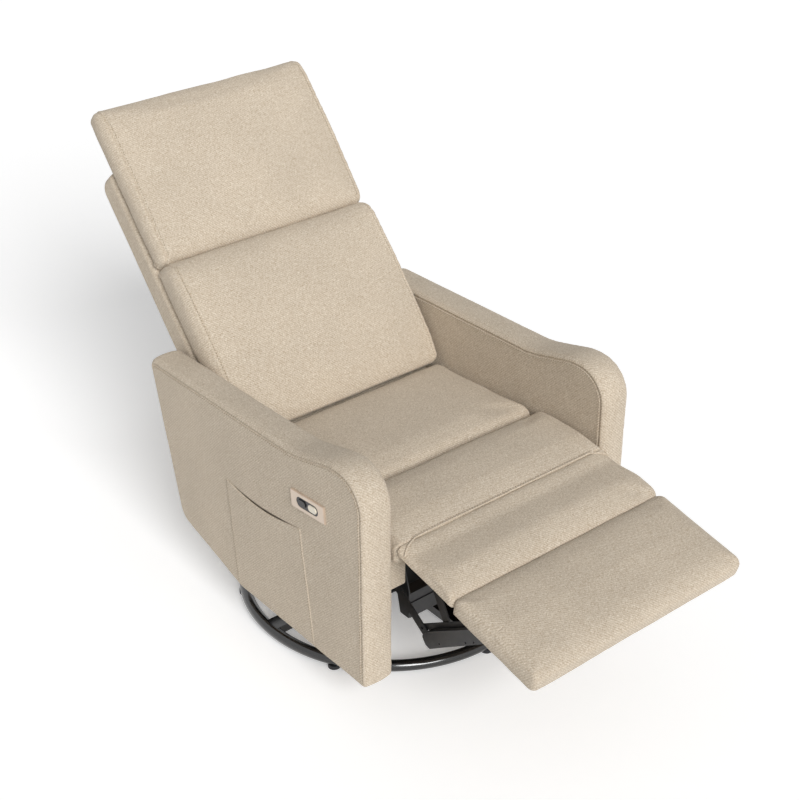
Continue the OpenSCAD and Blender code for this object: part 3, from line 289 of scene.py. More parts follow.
satin_black = coated("satin_powder_coat", "#18181b", 0.4, peel=0.12)
gloss_black = coated("gloss_powder_coat", "#0d0d0f", 0.16, clear=0.7)
zinc = coated("zinc_plate", "#8f9296", 0.34, metallic=1.0, peel_mm=0.8)
ground_steel = coated("ground_steel", "#c4c6c9", 0.22, metallic=1.0, peel_mm=0.5)
spring_wire = coated("oiled_spring_wire", "#5d6064", 0.38, metallic=1.0)
mill_aluminium = coated("mill_aluminium", "#b4b6b9", 0.36, metallic=1.0, peel_mm=0.7)
print("the ring's paint is", gloss_black.name)

# %% [markdown]
# ## Control panel finishes
# The plate is champagne anodised aluminium, blasted to a fine satin. The switch housing and the
# buttons are polished ABS, the front button ivory and the rear one black. Hidden mouldings are
# nylon, black with a fine grain or left in its natural white.

# %% Plastics and anodised metal
champagne = coated("champagne_anodised", "#dccbba", 0.32, metallic=0.6, peel_mm=0.6, peel=0.1)
piano_black = coated("polished_black_abs", "#08080a", 0.24, peel=0.0, clear=0.15)
ivory = coated("polished_ivory_abs", "#efe6d3", 0.16, peel=0.0, clear=0.4)
dark_button = coated("polished_dark_abs", "#0c0c0e", 0.28, peel=0.0, clear=0.1)
matt_black = coated("moulded_black_nylon", "#232326", 0.58, peel_mm=0.9, peel=0.25)
natural_nylon = coated("natural_nylon", "#e6e2d6", 0.45, peel=0.1)
print("the plate's finish is", champagne.name)

# %% [markdown]
# ## Plywood
# The hidden frame is beech plywood. Its edges show thin layers and its faces long grain. Both are
# drawn as one noise that is about thirty times finer across the chair than along it: 4 millimetres
# one way, which is a layer on the edge of an arm panel, and 110 the other.

# %% Plywood
PLY_MM, GRAIN_PER_M = 1000 / 260, 9.0
plywood, tree, shader = start_material("beech_plywood")
place = add_node(tree, "TexCoord").outputs["Object"]
along = add_node(tree, "Mapping", Vector=place, Scale=(1000 / PLY_MM, GRAIN_PER_M, GRAIN_PER_M))
grain = add_node(tree, "TexNoise", Vector=along, Scale=1.0, Detail=5.0)
boards = add_node(tree, "ValToRGB", Fac=grain)
set_ramp(boards, [(0.3, "#a98355"), (0.5, "#c39e6d"), (0.75, "#d3b285")])
bump = add_node(tree, "Bump", Height=grain, Distance=0.0005, Strength=0.2)
fill_inputs(tree, shader, Base_Color=boards, Normal=bump, Roughness=0.6)
print("one layer of plywood is", round(PLY_MM, 1), "mm")

# %% [markdown]
# ## Finishes of the CAD pieces
# Every CAD piece names the slot of its material, so one table gives all of them their finish.

# %% Give the CAD pieces their finishes
FINISHES = {"black_steel": satin_black, "black_paint_gloss": gloss_black, "zinc_steel": zinc,
            "bright_steel": ground_steel, "spring_steel": spring_wire, "aluminium": mill_aluminium,
            "ivory_nylon": natural_nylon, "black_plastic": matt_black, "piano_black": piano_black,
            "dark_button": dark_button, "ivory_button": ivory, "champagne_metal": champagne,
            "beech_ply": plywood, "oat_fabric": cloth}
for entry in frame["record"]["subparts"]:
    node = frame["nodes"][entry["node"]]
    node.data.materials.clear()
    node.data.materials.append(FINISHES[entry["material_slot"]])
print("finishes given to", len(frame["nodes"]), "CAD pieces")

# %% [markdown]
# ## From a side outline to a padded block
# An upholsterer cuts foam to a side profile and wraps it. The same steps work here: a few points
# make the side face, the face is extruded across the chair, its long edges are bevelled to their
# own radii, and the rim of each end gets the roll of the cloth over the foam's edge. Planes then
# cut the skin into rows. Cloth needs rows to bend, and a seam gets narrow rows of its own, so that
# its groove comes out crisp.

# %% Plates and rounds
TOUCH = 1e-6
RIM_STEPS = 4


def flat_piece(outline, x0, x1):
    """A plate of even thickness with this (y, z) outline in millimetres."""
    bm = bmesh.new()
    face = bm.faces.new([bm.verts.new((x0 * MM, y * MM, z * MM)) for y, z in outline])
    grown = bmesh.ops.extrude_face_region(bm, geom=[face])["geom"]
    moved = [v for v in grown if isinstance(v, bmesh.types.BMVert)]
    bmesh.ops.translate(bm, vec=((x1 - x0) * MM, 0, 0), verts=moved)
    bmesh.ops.recalc_face_normals(bm, faces=bm.faces)
    return bm


def edges_at(bm, *places):
    """The edges that lie wholly at one of these places across the chair."""
    return [e for e in bm.edges if any(all(abs(v.co.x - x * MM) < TOUCH for v in e.verts) for x in places)]


def round_edges(bm, edges, reach, segments):
    """Rounds edges. The reach is how far the round starts from the edge, in millimetres."""
    bmesh.ops.bevel(bm, geom=edges, offset=reach * MM, segments=segments, profile=0.5, affect="EDGES",
                    material=-1, clamp_overlap=False)


def corner_reach(before, here, after, radius):
    """How far along its faces a round of this radius starts from the corner."""
    a, b = Vector(here) - Vector(before), Vector(after) - Vector(here)
    return radius * math.tan(a.angle(b) / 2)


# %% Padded blocks
def foam_block(corners, x0, x1, rim, steps=6):
    """A block with these (y, z, radius) corners, in millimetres, and the rim of its ends rolled."""
    outline = [corner[:2] for corner in corners]
    bm = flat_piece(outline, x0, x1)
    for i, (y, z, radius) in enumerate(corners):
        spot = Vector((y * MM, z * MM))
        edge = [e for e in bm.edges if all((v.co.yz - spot).length < TOUCH for v in e.verts)]
        after = outline[(i + 1) % len(outline)]
        round_edges(bm, edge, corner_reach(outline[i - 1], outline[i], after, radius), steps)
    if rim > 0:
        round_edges(bm, edges_at(bm, x0, x1), rim, RIM_STEPS)
    return bm


def span(corners, axis):
    """The least and the greatest coordinate of the corners along y (0) or z (1)."""
    values = [corner[axis] for corner in corners]
    return min(values), max(values)


def rows(low, high, step):
    """Places between two ends, evenly spaced, about one step apart."""
    count = max(1, round((high - low) / step))
    return [low + (high - low) * i / count for i in range(1, count)]


def cut_rows(bm, axis, places):
    """Cuts the skin with planes across one axis, so it has rows of points there."""
    for place in places:
        point, normal = Vector(), Vector()
        point[axis] = place * MM
        normal[axis] = 1
        bmesh.ops.bisect_plane(bm, geom=bm.verts[:] + bm.edges[:] + bm.faces[:], dist=0.02 * MM,
                               plane_co=point, plane_no=normal)


# %% From a mesh to a piece
def place_mesh(name, mesh, material, body):
    """Makes the object, smooth shaded, and lets it ride on its body."""
    piece = bpy.data.objects.new(name, mesh)
    bpy.context.scene.collection.objects.link(piece)
    mesh.materials.clear()
    mesh.materials.append(material)
    mesh.shade_smooth()
    if body:
        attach(piece, body)
    return piece


def finish_object(name, bm, material, body):
    """Turns a finished bmesh into an object."""
    mesh = bpy.data.meshes.new(name)
    bm.to_mesh(mesh)
    bm.free()
    return place_mesh(name, mesh, material, body)


# %% Helpers for whole skins
def apply_modifiers(piece):
    """Keeps what the modifiers make and removes them."""
    graph = bpy.context.evaluated_depsgraph_get()
    made = bpy.data.meshes.new_from_object(piece.evaluated_get(graph))
    old = piece.data
    piece.modifiers.clear()
    piece.data = made
    bpy.data.meshes.remove(old)
    made.name = piece.name
    made.shade_smooth()


def refine(piece, levels):
    """Splits every face in four and rounds the skin, as often as levels says."""
    fine = piece.modifiers.new("fine", "SUBSURF")
    fine.levels = fine.render_levels = levels
    apply_modifiers(piece)


def read_vectors(items, key):
    """One vector of each item, as an array with three columns."""
    values = np.empty(len(items) * 3)
    items.foreach_get(key, values)
    return values.reshape(-1, 3)


def coords(piece):
    """The points of a piece as an array, in metres."""
    return read_vectors(piece.data.vertices, "co")


def normals(piece):
    """The way out of the skin at each point."""
    return read_vectors(piece.data.vertex_normals, "vector")


def set_coords(piece, values):
    """Puts the points of a piece in new places."""
    piece.data.vertices.foreach_set("co", values.ravel())
    piece.data.update()


def soften(piece, size_mm, amount_mm, seed):
    """Slow, shallow unevenness, because hand-laid wadding is never quite flat."""
    shift = Vector((seed, 2 * seed, 3 * seed))
    base = coords(piece)
    waves = np.array([noise.noise(Vector(p) / (size_mm * MM) + shift) for p in base])
    set_coords(piece, base + normals(piece) * (waves * amount_mm * MM)[:, None])


# %% [markdown]
# ## Seams
# A plain seam pulls the cloth in along a line. The padding rises again a few millimetres to both
# sides, and the thread gathers the cloth into small puckers. Both are pressed into the skin as a
# function of the distance to the seam. The thread itself is a row of small spindles that are laid
# on the skin, seven millimetres apart.

# %% Seams
GROOVE_MM = 2.0
LIP_AT_MM, LIP_MM = 5.5, 3.0
PUCKER_AT_MM, PUCKER_MM = 7.0, 7.0
PUCKER_PITCH, PUCKER_BEAT = 0.023, 0.31
PUCKER_SWAY, SWAY_RATE = 2.1, 19


def measure(points, path):
    """For each point, the distance to a path and how far along the path it is."""
    dense, run = [], []
    total = 0.0
    for a, b in zip(path[:-1], path[1:]):
        length = (b - a).length
        count = max(1, int(length / MM))
        for i in range(count):
            dense.append(a.lerp(b, i / count))
            run.append(total + length * (i / count))
        total += length
    tree = KDTree(len(dense))
    for i, p in enumerate(dense):
        tree.insert(p, i)
    tree.balance()
    found = [tree.find(p) for p in points]
    return np.array([f[2] for f in found]), np.array([run[f[1]] for f in found])


def hill(t, middle, width):
    """A smooth hill of height 1 about its middle."""
    return np.exp(-((t - middle) / width) ** 2)


def sew(piece, distance, along, where, depth=2.4, lips=0.8, pucker=0.45):
    """Presses a seam, in millimetres, with raised lips and puckers beside it."""
    t = distance / MM
    groove = -depth * hill(t, 0, GROOVE_MM) + lips * hill(t, LIP_AT_MM, LIP_MM)
    fine = np.sin(along * 2 * math.pi / PUCKER_PITCH + PUCKER_SWAY * np.sin(along * SWAY_RATE))
    wave = fine * np.sin(along * 2 * math.pi / PUCKER_BEAT)
    rise = (groove + pucker * wave * hill(t, PUCKER_AT_MM, PUCKER_MM)) * where
    set_coords(piece, coords(piece) + normals(piece) * (rise * MM)[:, None])


# %% Stitches
PITCH_MM = 7.0
SPINDLE_MM = (4.8 / 2, 0.75, 0.6)
SPINDLE_FACES = 20
THREAD_LIFT_MM = 0.1
THREAD_REACH = 0.02


def even_points(path, step):
    """Points along a path, one step apart in metres, each with its direction."""
    placed, left = [], step / 2
    for a, b in zip(path[:-1], path[1:]):
        length = (b - a).length
        while left < length:
            placed.append((a.lerp(b, left / length), (b - a).normalized()))
            left += step
        left -= length
    return placed


def stitch(name, paths, piece, body):
    """Rows of thread on a piece's skin. Each stitch is a small spindle that lies along its path."""
    skin = BVHTree.FromObject(piece, bpy.context.evaluated_depsgraph_get())
    size = Matrix.Diagonal([half * MM for half in SPINDLE_MM] + [1])
    bm = bmesh.new()
    for path in paths:
        for spot, ahead in even_points(path, PITCH_MM * MM):
            hit, normal, _, gap = skin.find_nearest(spot)
            if hit is None or gap > THREAD_REACH:
                continue
            ahead = (ahead - normal * ahead.dot(normal)).normalized()
            turn = Matrix((ahead, normal.cross(ahead), normal)).transposed().to_4x4()
            place = Matrix.Translation(hit + normal * THREAD_LIFT_MM * MM) @ turn @ size
            bmesh.ops.create_icosphere(bm, subdivisions=1, radius=1, matrix=place)
    print(name, "has", len(bm.faces) // SPINDLE_FACES, "stitches")
    row = finish_object(name, bm, thread, body)
    return row


# %% [markdown]
# ## The places of the cushions
# Two cushions lie along the leaning back, so they are drawn upright along its length and then
# turned into place: 41.4 degrees from upright, from the point where the back meets the seat. The
# footrest and the flap behind it are drawn the same way, along their own slopes.

# %% Places
BACK_LEAN, FLAP_SLOPE, REST_SLOPE = 41.4, 8.8, 10.2


def tilted(x, y, z, degrees):
    """A place in metres, turned up about the chair's width."""
    return Matrix.Translation((x, y, z)) @ Matrix.Rotation(math.radians(degrees), 4, "X")


HERE = Matrix.Identity(4)
BACK_PLACE = tilted(0, 143 * MM, 411 * MM, 90 - BACK_LEAN)
WELT = Vector((0, -374 * MM, 430 * MM))
FLAP_PLACE = tilted(*WELT, FLAP_SLOPE)
CREASE = FLAP_PLACE @ Vector((0, -169 * MM, 0))
REST_PLACE = tilted(*CREASE, REST_SLOPE)
print("crease at", [round(v, 4) for v in CREASE])

# %% [markdown]
# ## The sizes of the cushions
# Each cushion has the body that it rides on, its place, its width, the roll of its rim, the lift and
# the side swell of its middle, the most that stuffing may add, how far in from its sides a seam
# runs, and the corners of its side outline as (y, z, radius).

# %% Sizes of the cushions
CUSHIONS = {
    "seat_cushion": dict(
        body="seat", place=HERE, wide=566, rim=16, lift=9, swell=0, cap=5, seam=0,
        corners=[(-166, 348, 8), (88, 348, 8), (148, 391, 8), (159, 397, 5), (157, 406, 5),
                 (-166, 433, 30)]),
    "seat_front_roll": dict(
        body="seat", place=HERE, wide=566, rim=14, lift=6, swell=0, cap=4, seam=0,
        corners=[(-166, 348, 6), (-166, 437, 34), (-230, 442, 60), (-318, 441, 70), (-374, 431, 5),
                 (-367, 376, 14), (-256, 376, 4), (-256, 348, 4)]),
    "flap_pad": dict(
        body=None, place=FLAP_PLACE, wide=568, rim=13, lift=5, swell=0, cap=4, seam=0,
        corners=[(1, -28, 6), (1, -1, 4), (-40, -7.5, 60), (-108, 5, 70), (-170, 1, 22),
                 (-168, -36, 8)]),
    "footrest_pad": dict(
        body="footrest", place=REST_PLACE, wide=566, rim=13, lift=4, swell=0, cap=4, seam=0,
        corners=[(2, -46, 8), (2, 2, 22), (-112, 5, 90), (-236, 0, 20), (-232, -54, 18)]),
    "lumbar_cushion": dict(
        body="back", place=BACK_PLACE, wide=560, rim=20, lift=7, swell=2, cap=5, seam=14,
        corners=[(12, -60, 14), (12, 3, 24), (80, 16, 70), (190, 20, 90), (340, 20, 80),
                 (430, 15, 46), (433, -60, 8)]),
    "head_cushion": dict(
        body="back", place=BACK_PLACE, wide=560, rim=20, lift=5, swell=1, cap=5, seam=14,
        corners=[(430, -60, 8), (430, -3, 28), (600, 4, 90), (762, 2, 60), (808, -8, 28),
                 (806, -60, 16)]),
}
print(len(CUSHIONS), "cushions")

# %% [markdown]
# ## Building the cushions
# Each block is cut into rows about thirteen millimetres apart, with five narrow ones over each
# seam. Then its middle is lifted a little and its sides swell, before it is turned into its place.

# %% Build the cushions
CUSHION_ROW_MM = 13
SEAM_ROWS_MM = (-5, -2.5, 0, 2.5, 5)


def plump(bm, c):
    """Lifts the middle of the face and swells the sides, as full stuffing does."""
    half = c["wide"] / 2 * MM
    low, high = [end * MM for end in span(c["corners"], 0)]
    under, over = [end * MM for end in span(c["corners"], 1)]
    for v in bm.verts:
        across, u, up = v.co.x / half, (v.co.y - low) / (high - low), (v.co.z - under) / (over - under)
        arch = max(0.0, math.sin(math.pi * min(max(u, 0), 1))) ** 0.7
        v.co.z += c["lift"] * MM * arch * max(up, 0) ** 2 * (1 - min(1, across ** 2))
        v.co.x += math.copysign(c["swell"] * MM * arch * min(1, abs(across)) ** 3, across)


def build_cushion(name):
    """One cushion in its place, with rows for the cloth and for its seams."""
    c = CUSHIONS[name]
    half = c["wide"] / 2
    bm = foam_block(c["corners"], -half, half, c["rim"])
    cut_rows(bm, 0, rows(-half, half, CUSHION_ROW_MM))
    if c["seam"]:
        for side in (-1, 1):
            cut_rows(bm, 0, [side * (half - c["seam"] + d) for d in SEAM_ROWS_MM])
    for axis in (0, 1):
        cut_rows(bm, axis + 1, rows(*span(c["corners"], axis), CUSHION_ROW_MM))
    plump(bm, c)
    bmesh.ops.transform(bm, matrix=c["place"], verts=bm.verts)
    piece = finish_object(name + "_cover", bm, cloth, c["body"])
    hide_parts(name)
    return piece


covers = {name: build_cushion(name) for name in CUSHIONS}
for name, piece in covers.items():
    print(name, len(piece.data.polygons), "faces")

# %% [markdown]
# ## Stuffing
# Foam pushes its cover out and the cover is held at the seams, so each panel swells between them.
# Blender's cloth does this with an inner pressure. The underside and the seams are pinned, and the
# rest may move only as far as foam would push it.

# %% Stuff the cushions
HELD_UNDER, HELD_END, HELD_SEAM = 0.016, 0.004, 0.003
STUFFING_FRAMES = 18
COVER_CLOTH = {"quality": 6, "mass": 0.35, "use_pressure": True, "uniform_pressure_force": 3.0,
               "vertex_group_mass": "pinned", "tension_stiffness": 14, "compression_stiffness": 14,
               "bending_stiffness": 1.2}


def to_local(points, place):
    """World points in the frame that a cushion was drawn in."""
    back = np.array(place.inverted())
    return points @ back[:3, :3].T + back[:3, 3]


def pin(piece, c):
    """Pins the underside, the seams and the ends, so the face swells between them."""
    group = piece.vertex_groups.new(name="pinned")
    local = to_local(coords(piece), c["place"])
    low, high = [end * MM for end in span(c["corners"], 0)]
    under = span(c["corners"], 1)[0] * MM
    side = c["wide"] / 2 * MM - np.abs(local[:, 0])
    ends = (local[:, 1] < low + HELD_END) | (local[:, 1] > high - HELD_END)
    held = ends | (local[:, 2] < under + HELD_UNDER)
    if c["seam"]:
        held |= np.abs(side - c["seam"] * MM) < HELD_SEAM
    for i in np.flatnonzero(held):
        group.add([int(i)], 1.0, "REPLACE")


def stuff(pieces):
    """Swells all the cushions together, then keeps the result within each one's cap."""
    scene = bpy.context.scene
    starts = {}
    for name, piece in pieces.items():
        starts[name] = coords(piece)
        pin(piece, CUSHIONS[name])
        swell = piece.modifiers.new("swell", "CLOTH")
        for key, value in COVER_CLOTH.items():
            setattr(swell.settings, key, value)
        swell.settings.effector_weights.gravity = 0
        swell.point_cache.frame_end = STUFFING_FRAMES
    for step in range(1, STUFFING_FRAMES + 1):
        scene.frame_set(step)
    for name, piece in pieces.items():
        apply_modifiers(piece)
        cap = CUSHIONS[name]["cap"] * MM
        moved = coords(piece) - starts[name]
        length = np.linalg.norm(moved, axis=1, keepdims=True) + 1e-9
        set_coords(piece, starts[name] + moved * (cap * np.tanh(length / cap) / length))
        print(name, "swelled by up to", round(float(length.max()) / MM, 1), "mm")
    scene.frame_set(1)


stuff(covers)

# %% [markdown]
# ## Seams of the cushions
# The two back cushions are boxed: a seam runs down each side of the face, on the turn of its edge.
# One stitched row lies beside it. The seat, the roll and the legrest are wrapped without side
# seams, and only meet in creases.

# %% Sew the cushions
BESIDE_MM = 3.4
ROW_START, ROW_END, ROW_HEIGHT = 0.008, 0.012, 0.012
ROW_PARTS = 60
SEAM_FADE_FROM, SEAM_FADE_MM = -45, 12


def side_rows(c):
    """A line for the stitches beside each seam, just above the face of the cushion."""
    low, high = [end * MM for end in span(c["corners"], 0)]
    ends = (low + ROW_START, high - ROW_END)
    lines = []
    for side in (-1, 1):
        x = side * (c["wide"] / 2 - c["seam"] - BESIDE_MM) * MM
        lines.append([c["place"] @ Vector((x, ends[0] + (ends[1] - ends[0]) * i / ROW_PARTS, ROW_HEIGHT))
                      for i in range(ROW_PARTS + 1)])
    return lines


for number, (name, piece) in enumerate(covers.items()):
    c = CUSHIONS[name]
    refine(piece, 2)
    soften(piece, 95, 1.5, seed=number + 0.3)
    soften(piece, 34, 0.5, seed=number + 0.7)
    if c["seam"]:
        local = to_local(coords(piece), c["place"])
        gap = np.abs(c["wide"] / 2 * MM - np.abs(local[:, 0]) - c["seam"] * MM)
        face = np.clip((local[:, 2] / MM - SEAM_FADE_FROM) / SEAM_FADE_MM, 0, 1)
        sew(piece, gap, local[:, 1], face)
        stitch(name + "_stitches", side_rows(c), piece, c["body"])

# %% [markdown]
# ## Welt and creases
# Where the seat's front roll meets the flap, the two covers are joined by a narrow folded seam. It
# stands up like a thin cord and bends forward at both ends, round the corners of the flap. A curve
# with a round bevel gives it, laid on the skin point by point.


# %% Cords
def cord_along(name, paths, radius_mm, material, body=None):
    """A round cord or wire along each path, as one mesh."""
    data = bpy.data.curves.new(name, "CURVE")
    data.dimensions = "3D"
    data.bevel_depth = radius_mm * MM
    data.bevel_resolution = 3
    data.use_fill_caps = True
    for path in paths:
        line = data.splines.new("POLY")
        line.points.add(len(path) - 1)
        for place, point in zip(line.points, path):
            place.co = (*point, 1)
    holder = bpy.data.objects.new(name, data)
    bpy.context.scene.collection.objects.link(holder)
    mesh = bpy.data.meshes.new_from_object(holder.evaluated_get(bpy.context.evaluated_depsgraph_get()))
    bpy.data.objects.remove(holder)
    piece = place_mesh(name, mesh, material, body)
    return piece


# %% Welt at the front of the seat
WELT_MM, WELT_STEP, WELT_POINTS = 2.1, 4.02, 70
WELT_Y, WELT_Z, WELT_LIFT = -374.5, 430, 0.3
BEND_FROM, BEND_OVER, BEND_MM, BEND_POWER = 236, 46, 21, 1.6
WELT_THREAD_MM, WELT_THREAD_END = 5.5, 0.25
DROP_FROM = 0.06


def lie_on(skins, spot):
    """The highest point of the skins under a spot."""
    above = spot + Vector((0, 0, DROP_FROM))
    hits = [skin.ray_cast(above, Vector((0, 0, -1)))[0] for skin in skins]
    return max((hit for hit in hits if hit is not None), key=lambda hit: hit.z, default=None)


graph = bpy.context.evaluated_depsgraph_get()
skins = [BVHTree.FromObject(covers[name], graph) for name in ("seat_front_roll", "flap_pad")]
welt_line = []
for i in range(-WELT_POINTS, WELT_POINTS + 1):
    x = i * WELT_STEP
    bend = max(0.0, (abs(x) - BEND_FROM) / BEND_OVER)
    spot = Vector((x * MM, (WELT_Y - BEND_MM * bend ** BEND_POWER) * MM, WELT_Z * MM))
    near = [lie_on(skins, spot + Vector((0, d * MM, 0))) for d in (-4, 0, 4)]
    if all(hit is not None for hit in near):
        welt_line.append(Vector((spot.x, spot.y, max(hit.z for hit in near) + WELT_LIFT * MM)))
cord_along("seat_welt", [welt_line], WELT_MM, cloth, "seat")
beside = [p + Vector((0, WELT_THREAD_MM * MM, 0)) for p in welt_line if abs(p.x) < WELT_THREAD_END]
stitch("seat_welt_stitches", [beside], covers["seat_front_roll"], "seat")
print("welt runs over", len(welt_line), "points")

# %% [markdown]
# ## Arms
# Each arm is a thin plywood panel wrapped in foam. Its outline swells over the front roll and dips
# towards the back. A band of cloth goes round the edge between two seams, each with a row of
# stitches on both sides. Insets of the flat faces give rings that run along the edge, so the seam
# has its own narrow rings, and the band keeps one width all the way round.

# %% Arm skin
ARM_IN, ARM_OUT = 287, 360
ARM = [(-365, 102, 12), (-365, 597, 78), (-261, 597, 130), (-135, 562.8, 220), (396, 545.5, 22),
       (306, 169.8, 42), (75.2, 102, 70)]
ARM_RIM, ARM_STEPS = 9, 11
ARM_BAND_ROW_MM, ARM_ROW_MM = 11, 15
RING_STEPS = (1.2, 1.2, 1.2, 1.2, 1.2, 4, 9)
SEAM_RING = 1
SIDE_FALL, UNDER_FROM, UNDER_FADE = 1.6, -0.6, 0.4


def arm_skin(side):
    """The skin of one arm, with the ring of points where each seam goes."""
    bm = foam_block(ARM, ARM_IN * side, ARM_OUT * side, ARM_RIM, steps=ARM_STEPS)
    rings = []
    for way in (-1, 1):
        for i, step in enumerate(RING_STEPS):
            face = max((f for f in bm.faces if f.normal.x * way > 0.9), key=lambda f: f.calc_area())
            bmesh.ops.inset_region(bm, faces=[face], thickness=step * MM, depth=0, use_even_offset=True,
                                   use_boundary=True)
            if i == SEAM_RING:
                rings.append([v.co.copy() for v in face.verts])
            bmesh.ops.remove_doubles(bm, verts=face.verts[:], dist=0.9 * step * MM)
    cut_rows(bm, 0, [side * x for x in rows(ARM_IN + ARM_RIM, ARM_OUT - ARM_RIM, ARM_BAND_ROW_MM)])
    for axis in (0, 1):
        cut_rows(bm, axis + 1, rows(*span(ARM, axis), ARM_ROW_MM))
    return bm, rings


def crown(piece, x0, x1, amount_mm):
    """Rounds the band across its width, most along its middle, but not under the arm."""
    base, out = coords(piece), normals(piece)
    across = 1 - ((base[:, 0] / MM - (x0 + x1) / 2) / ((x1 - x0) / 2)) ** 2
    top = np.clip((out[:, 2] - UNDER_FROM) / UNDER_FADE, 0, 1)
    band = np.clip(1 - SIDE_FALL * np.abs(out[:, 0]), 0, 1) * top
    rise = amount_mm * MM * np.clip(across, 0, 1) * band
    set_coords(piece, base + out * rise[:, None])


# %% [markdown]
# ### Seams of the arms
# Both seams run from the arm's back corner over the top and down the front, drawn in one direction
# or the other. Each fades in over the first three centimetres of its path. None is made under the
# arm, where it wouldn't show.

# %% Arms
SEAM_TOP, SEAM_FRONT = 0.522, -0.338
SEAM_FADE_IN = 0.03
CROWN_MM = 4.5
ARM_THREADS_MM = (-3.6, 3.6)


def along_top_and_front(ring):
    """The part of a ring between the arm's back corner and the foot of its front, over the top."""
    shown = [p.z > SEAM_TOP or p.y < SEAM_FRONT for p in ring]
    count = len(ring)
    start = next(i for i in range(count) if shown[i] and not shown[i - 1])
    path = []
    for i in range(start, start + count):
        if not shown[i % count]:
            break
        path.append(ring[i % count])
    return path


def beside_path(path, shift_mm):
    """A path moved sideways on the face of the arm, towards its middle where the shift is positive."""
    middle = sum(path, Vector()) / len(path)
    row = []
    for before, here, after in zip(path[:-2], path[1:-1], path[2:]):
        inward = (after - before).normalized().cross(Vector((1, 0, 0)))
        inward *= math.copysign(1, inward.dot(middle - here))
        row.append(here + inward * shift_mm * MM)
    return row


def build_arm(name, side):
    """An arm with both its seams sewn in and its stitches on."""
    bm, rings = arm_skin(side)
    piece = finish_object(name + "_cover", bm, cloth, "frame")
    refine(piece, 1)
    soften(piece, 120, 1.1, seed=side * 1.3)
    soften(piece, 40, 0.35, seed=side * 2.9)
    crown(piece, side * ARM_IN, side * ARM_OUT, CROWN_MM)
    paths = [along_top_and_front(ring) for ring in rings]
    for path in paths:
        gap, run = measure(coords(piece), path)
        sew(piece, gap, run, np.clip(run / SEAM_FADE_IN, 0, 1), depth=2.0, lips=0.6, pucker=0.35)
    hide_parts(name)
    lines = [beside_path(path, shift) for path in paths for shift in ARM_THREADS_MM]
    stitch(name + "_stitches", lines, piece, "frame")
    return piece


arms = {"arm_right": build_arm("arm_right", -1), "arm_left": build_arm("arm_left", 1)}
for name, piece in arms.items():
    print(name, len(piece.data.polygons), "faces")

# %% [markdown]
# ## Pocket
# The pocket is a cloth panel sewn to the right arm along its two upright edges. Its top edge sags
# and stands a little away from the arm, which leaves a slit. The arm has a real hollow behind the
# slit, cut with a boolean, and the panel lies over it.

# %% Slit of the pocket
SLIT_BACK, SLIT_FRONT = Vector((109, 371.8)), Vector((-158, 388.1))
SLIT_PARTS = 24
HOLLOW_SAG, HOLLOW_PAST, HOLLOW_DEEP, HOLLOW_TAPER = 12.5, -0.03, 70, 0.82
HOLLOW_X = (-375, -347)


def slit_curve(sag, past=0.0):
    """The slit's edge as (y, z) points in millimetres, sagging in its middle."""
    points = []
    for i in range(SLIT_PARTS + 1):
        share = -past + (1 + 2 * past) * i / SLIT_PARTS
        y, z = SLIT_BACK.lerp(SLIT_FRONT, share)
        points.append((y, z - sag * math.sin(math.pi * min(max(share, 0), 1))))
    return points


hollow = slit_curve(HOLLOW_SAG, HOLLOW_PAST)
middle = sum(y for y, z in hollow) / len(hollow)
hollow += [(middle + (y - middle) * HOLLOW_TAPER, z - HOLLOW_DEEP) for y, z in reversed(hollow)]
cutter = finish_object("pocket_hollow", flat_piece(hollow, *HOLLOW_X), cloth, None)
cut = arms["arm_right"].modifiers.new("pocket", "BOOLEAN")
cut.object = cutter
cut.solver = "EXACT"
apply_modifiers(arms["arm_right"])
bpy.data.objects.remove(cutter)
arms["arm_right"].data.set_sharp_from_angle(angle=math.radians(50))
print("pocket hollow cut,", len(arms["arm_right"].data.polygons), "faces")

# %% [markdown]
# ### Panel of the pocket
# The panel is a thin plate with a rounded outer edge. It bellies out along its top, most in the
# middle and less further down, so the slit reads as a shadow. Both its sides are stitched down.

# %% Panel of the pocket
FOOT_BACK, FOOT_FRONT = Vector((85, 116)), Vector((-195, 116))
PANEL_IN, PANEL_OUT = -358.0, -360.9
PANEL_Y, PANEL_Z = (-195, 109), (116, 388)
PANEL_SAG, PANEL_ROUND, PANEL_ROW_MM = 16.5, 0.9, 9
BELLY_MM, BELLY_DEEP = 2.6, 26
HEM_MM, SIDE_PARTS, SIDE_THREAD_MM = 3, 40, 4


def belly(v):
    """Moves a point of the panel out from the arm."""
    share = min(max((v.co.y / MM - SLIT_BACK[0]) / (SLIT_FRONT[0] - SLIT_BACK[0]), 0), 1)
    edge_z = SLIT_BACK[1] + (SLIT_FRONT[1] - SLIT_BACK[1]) * share - PANEL_SAG * math.sin(math.pi * share)
    below = max(0.0, edge_z - v.co.z / MM)
    v.co.x -= BELLY_MM * MM * math.sin(math.pi * share) * math.exp(-(below / BELLY_DEEP) ** 2)


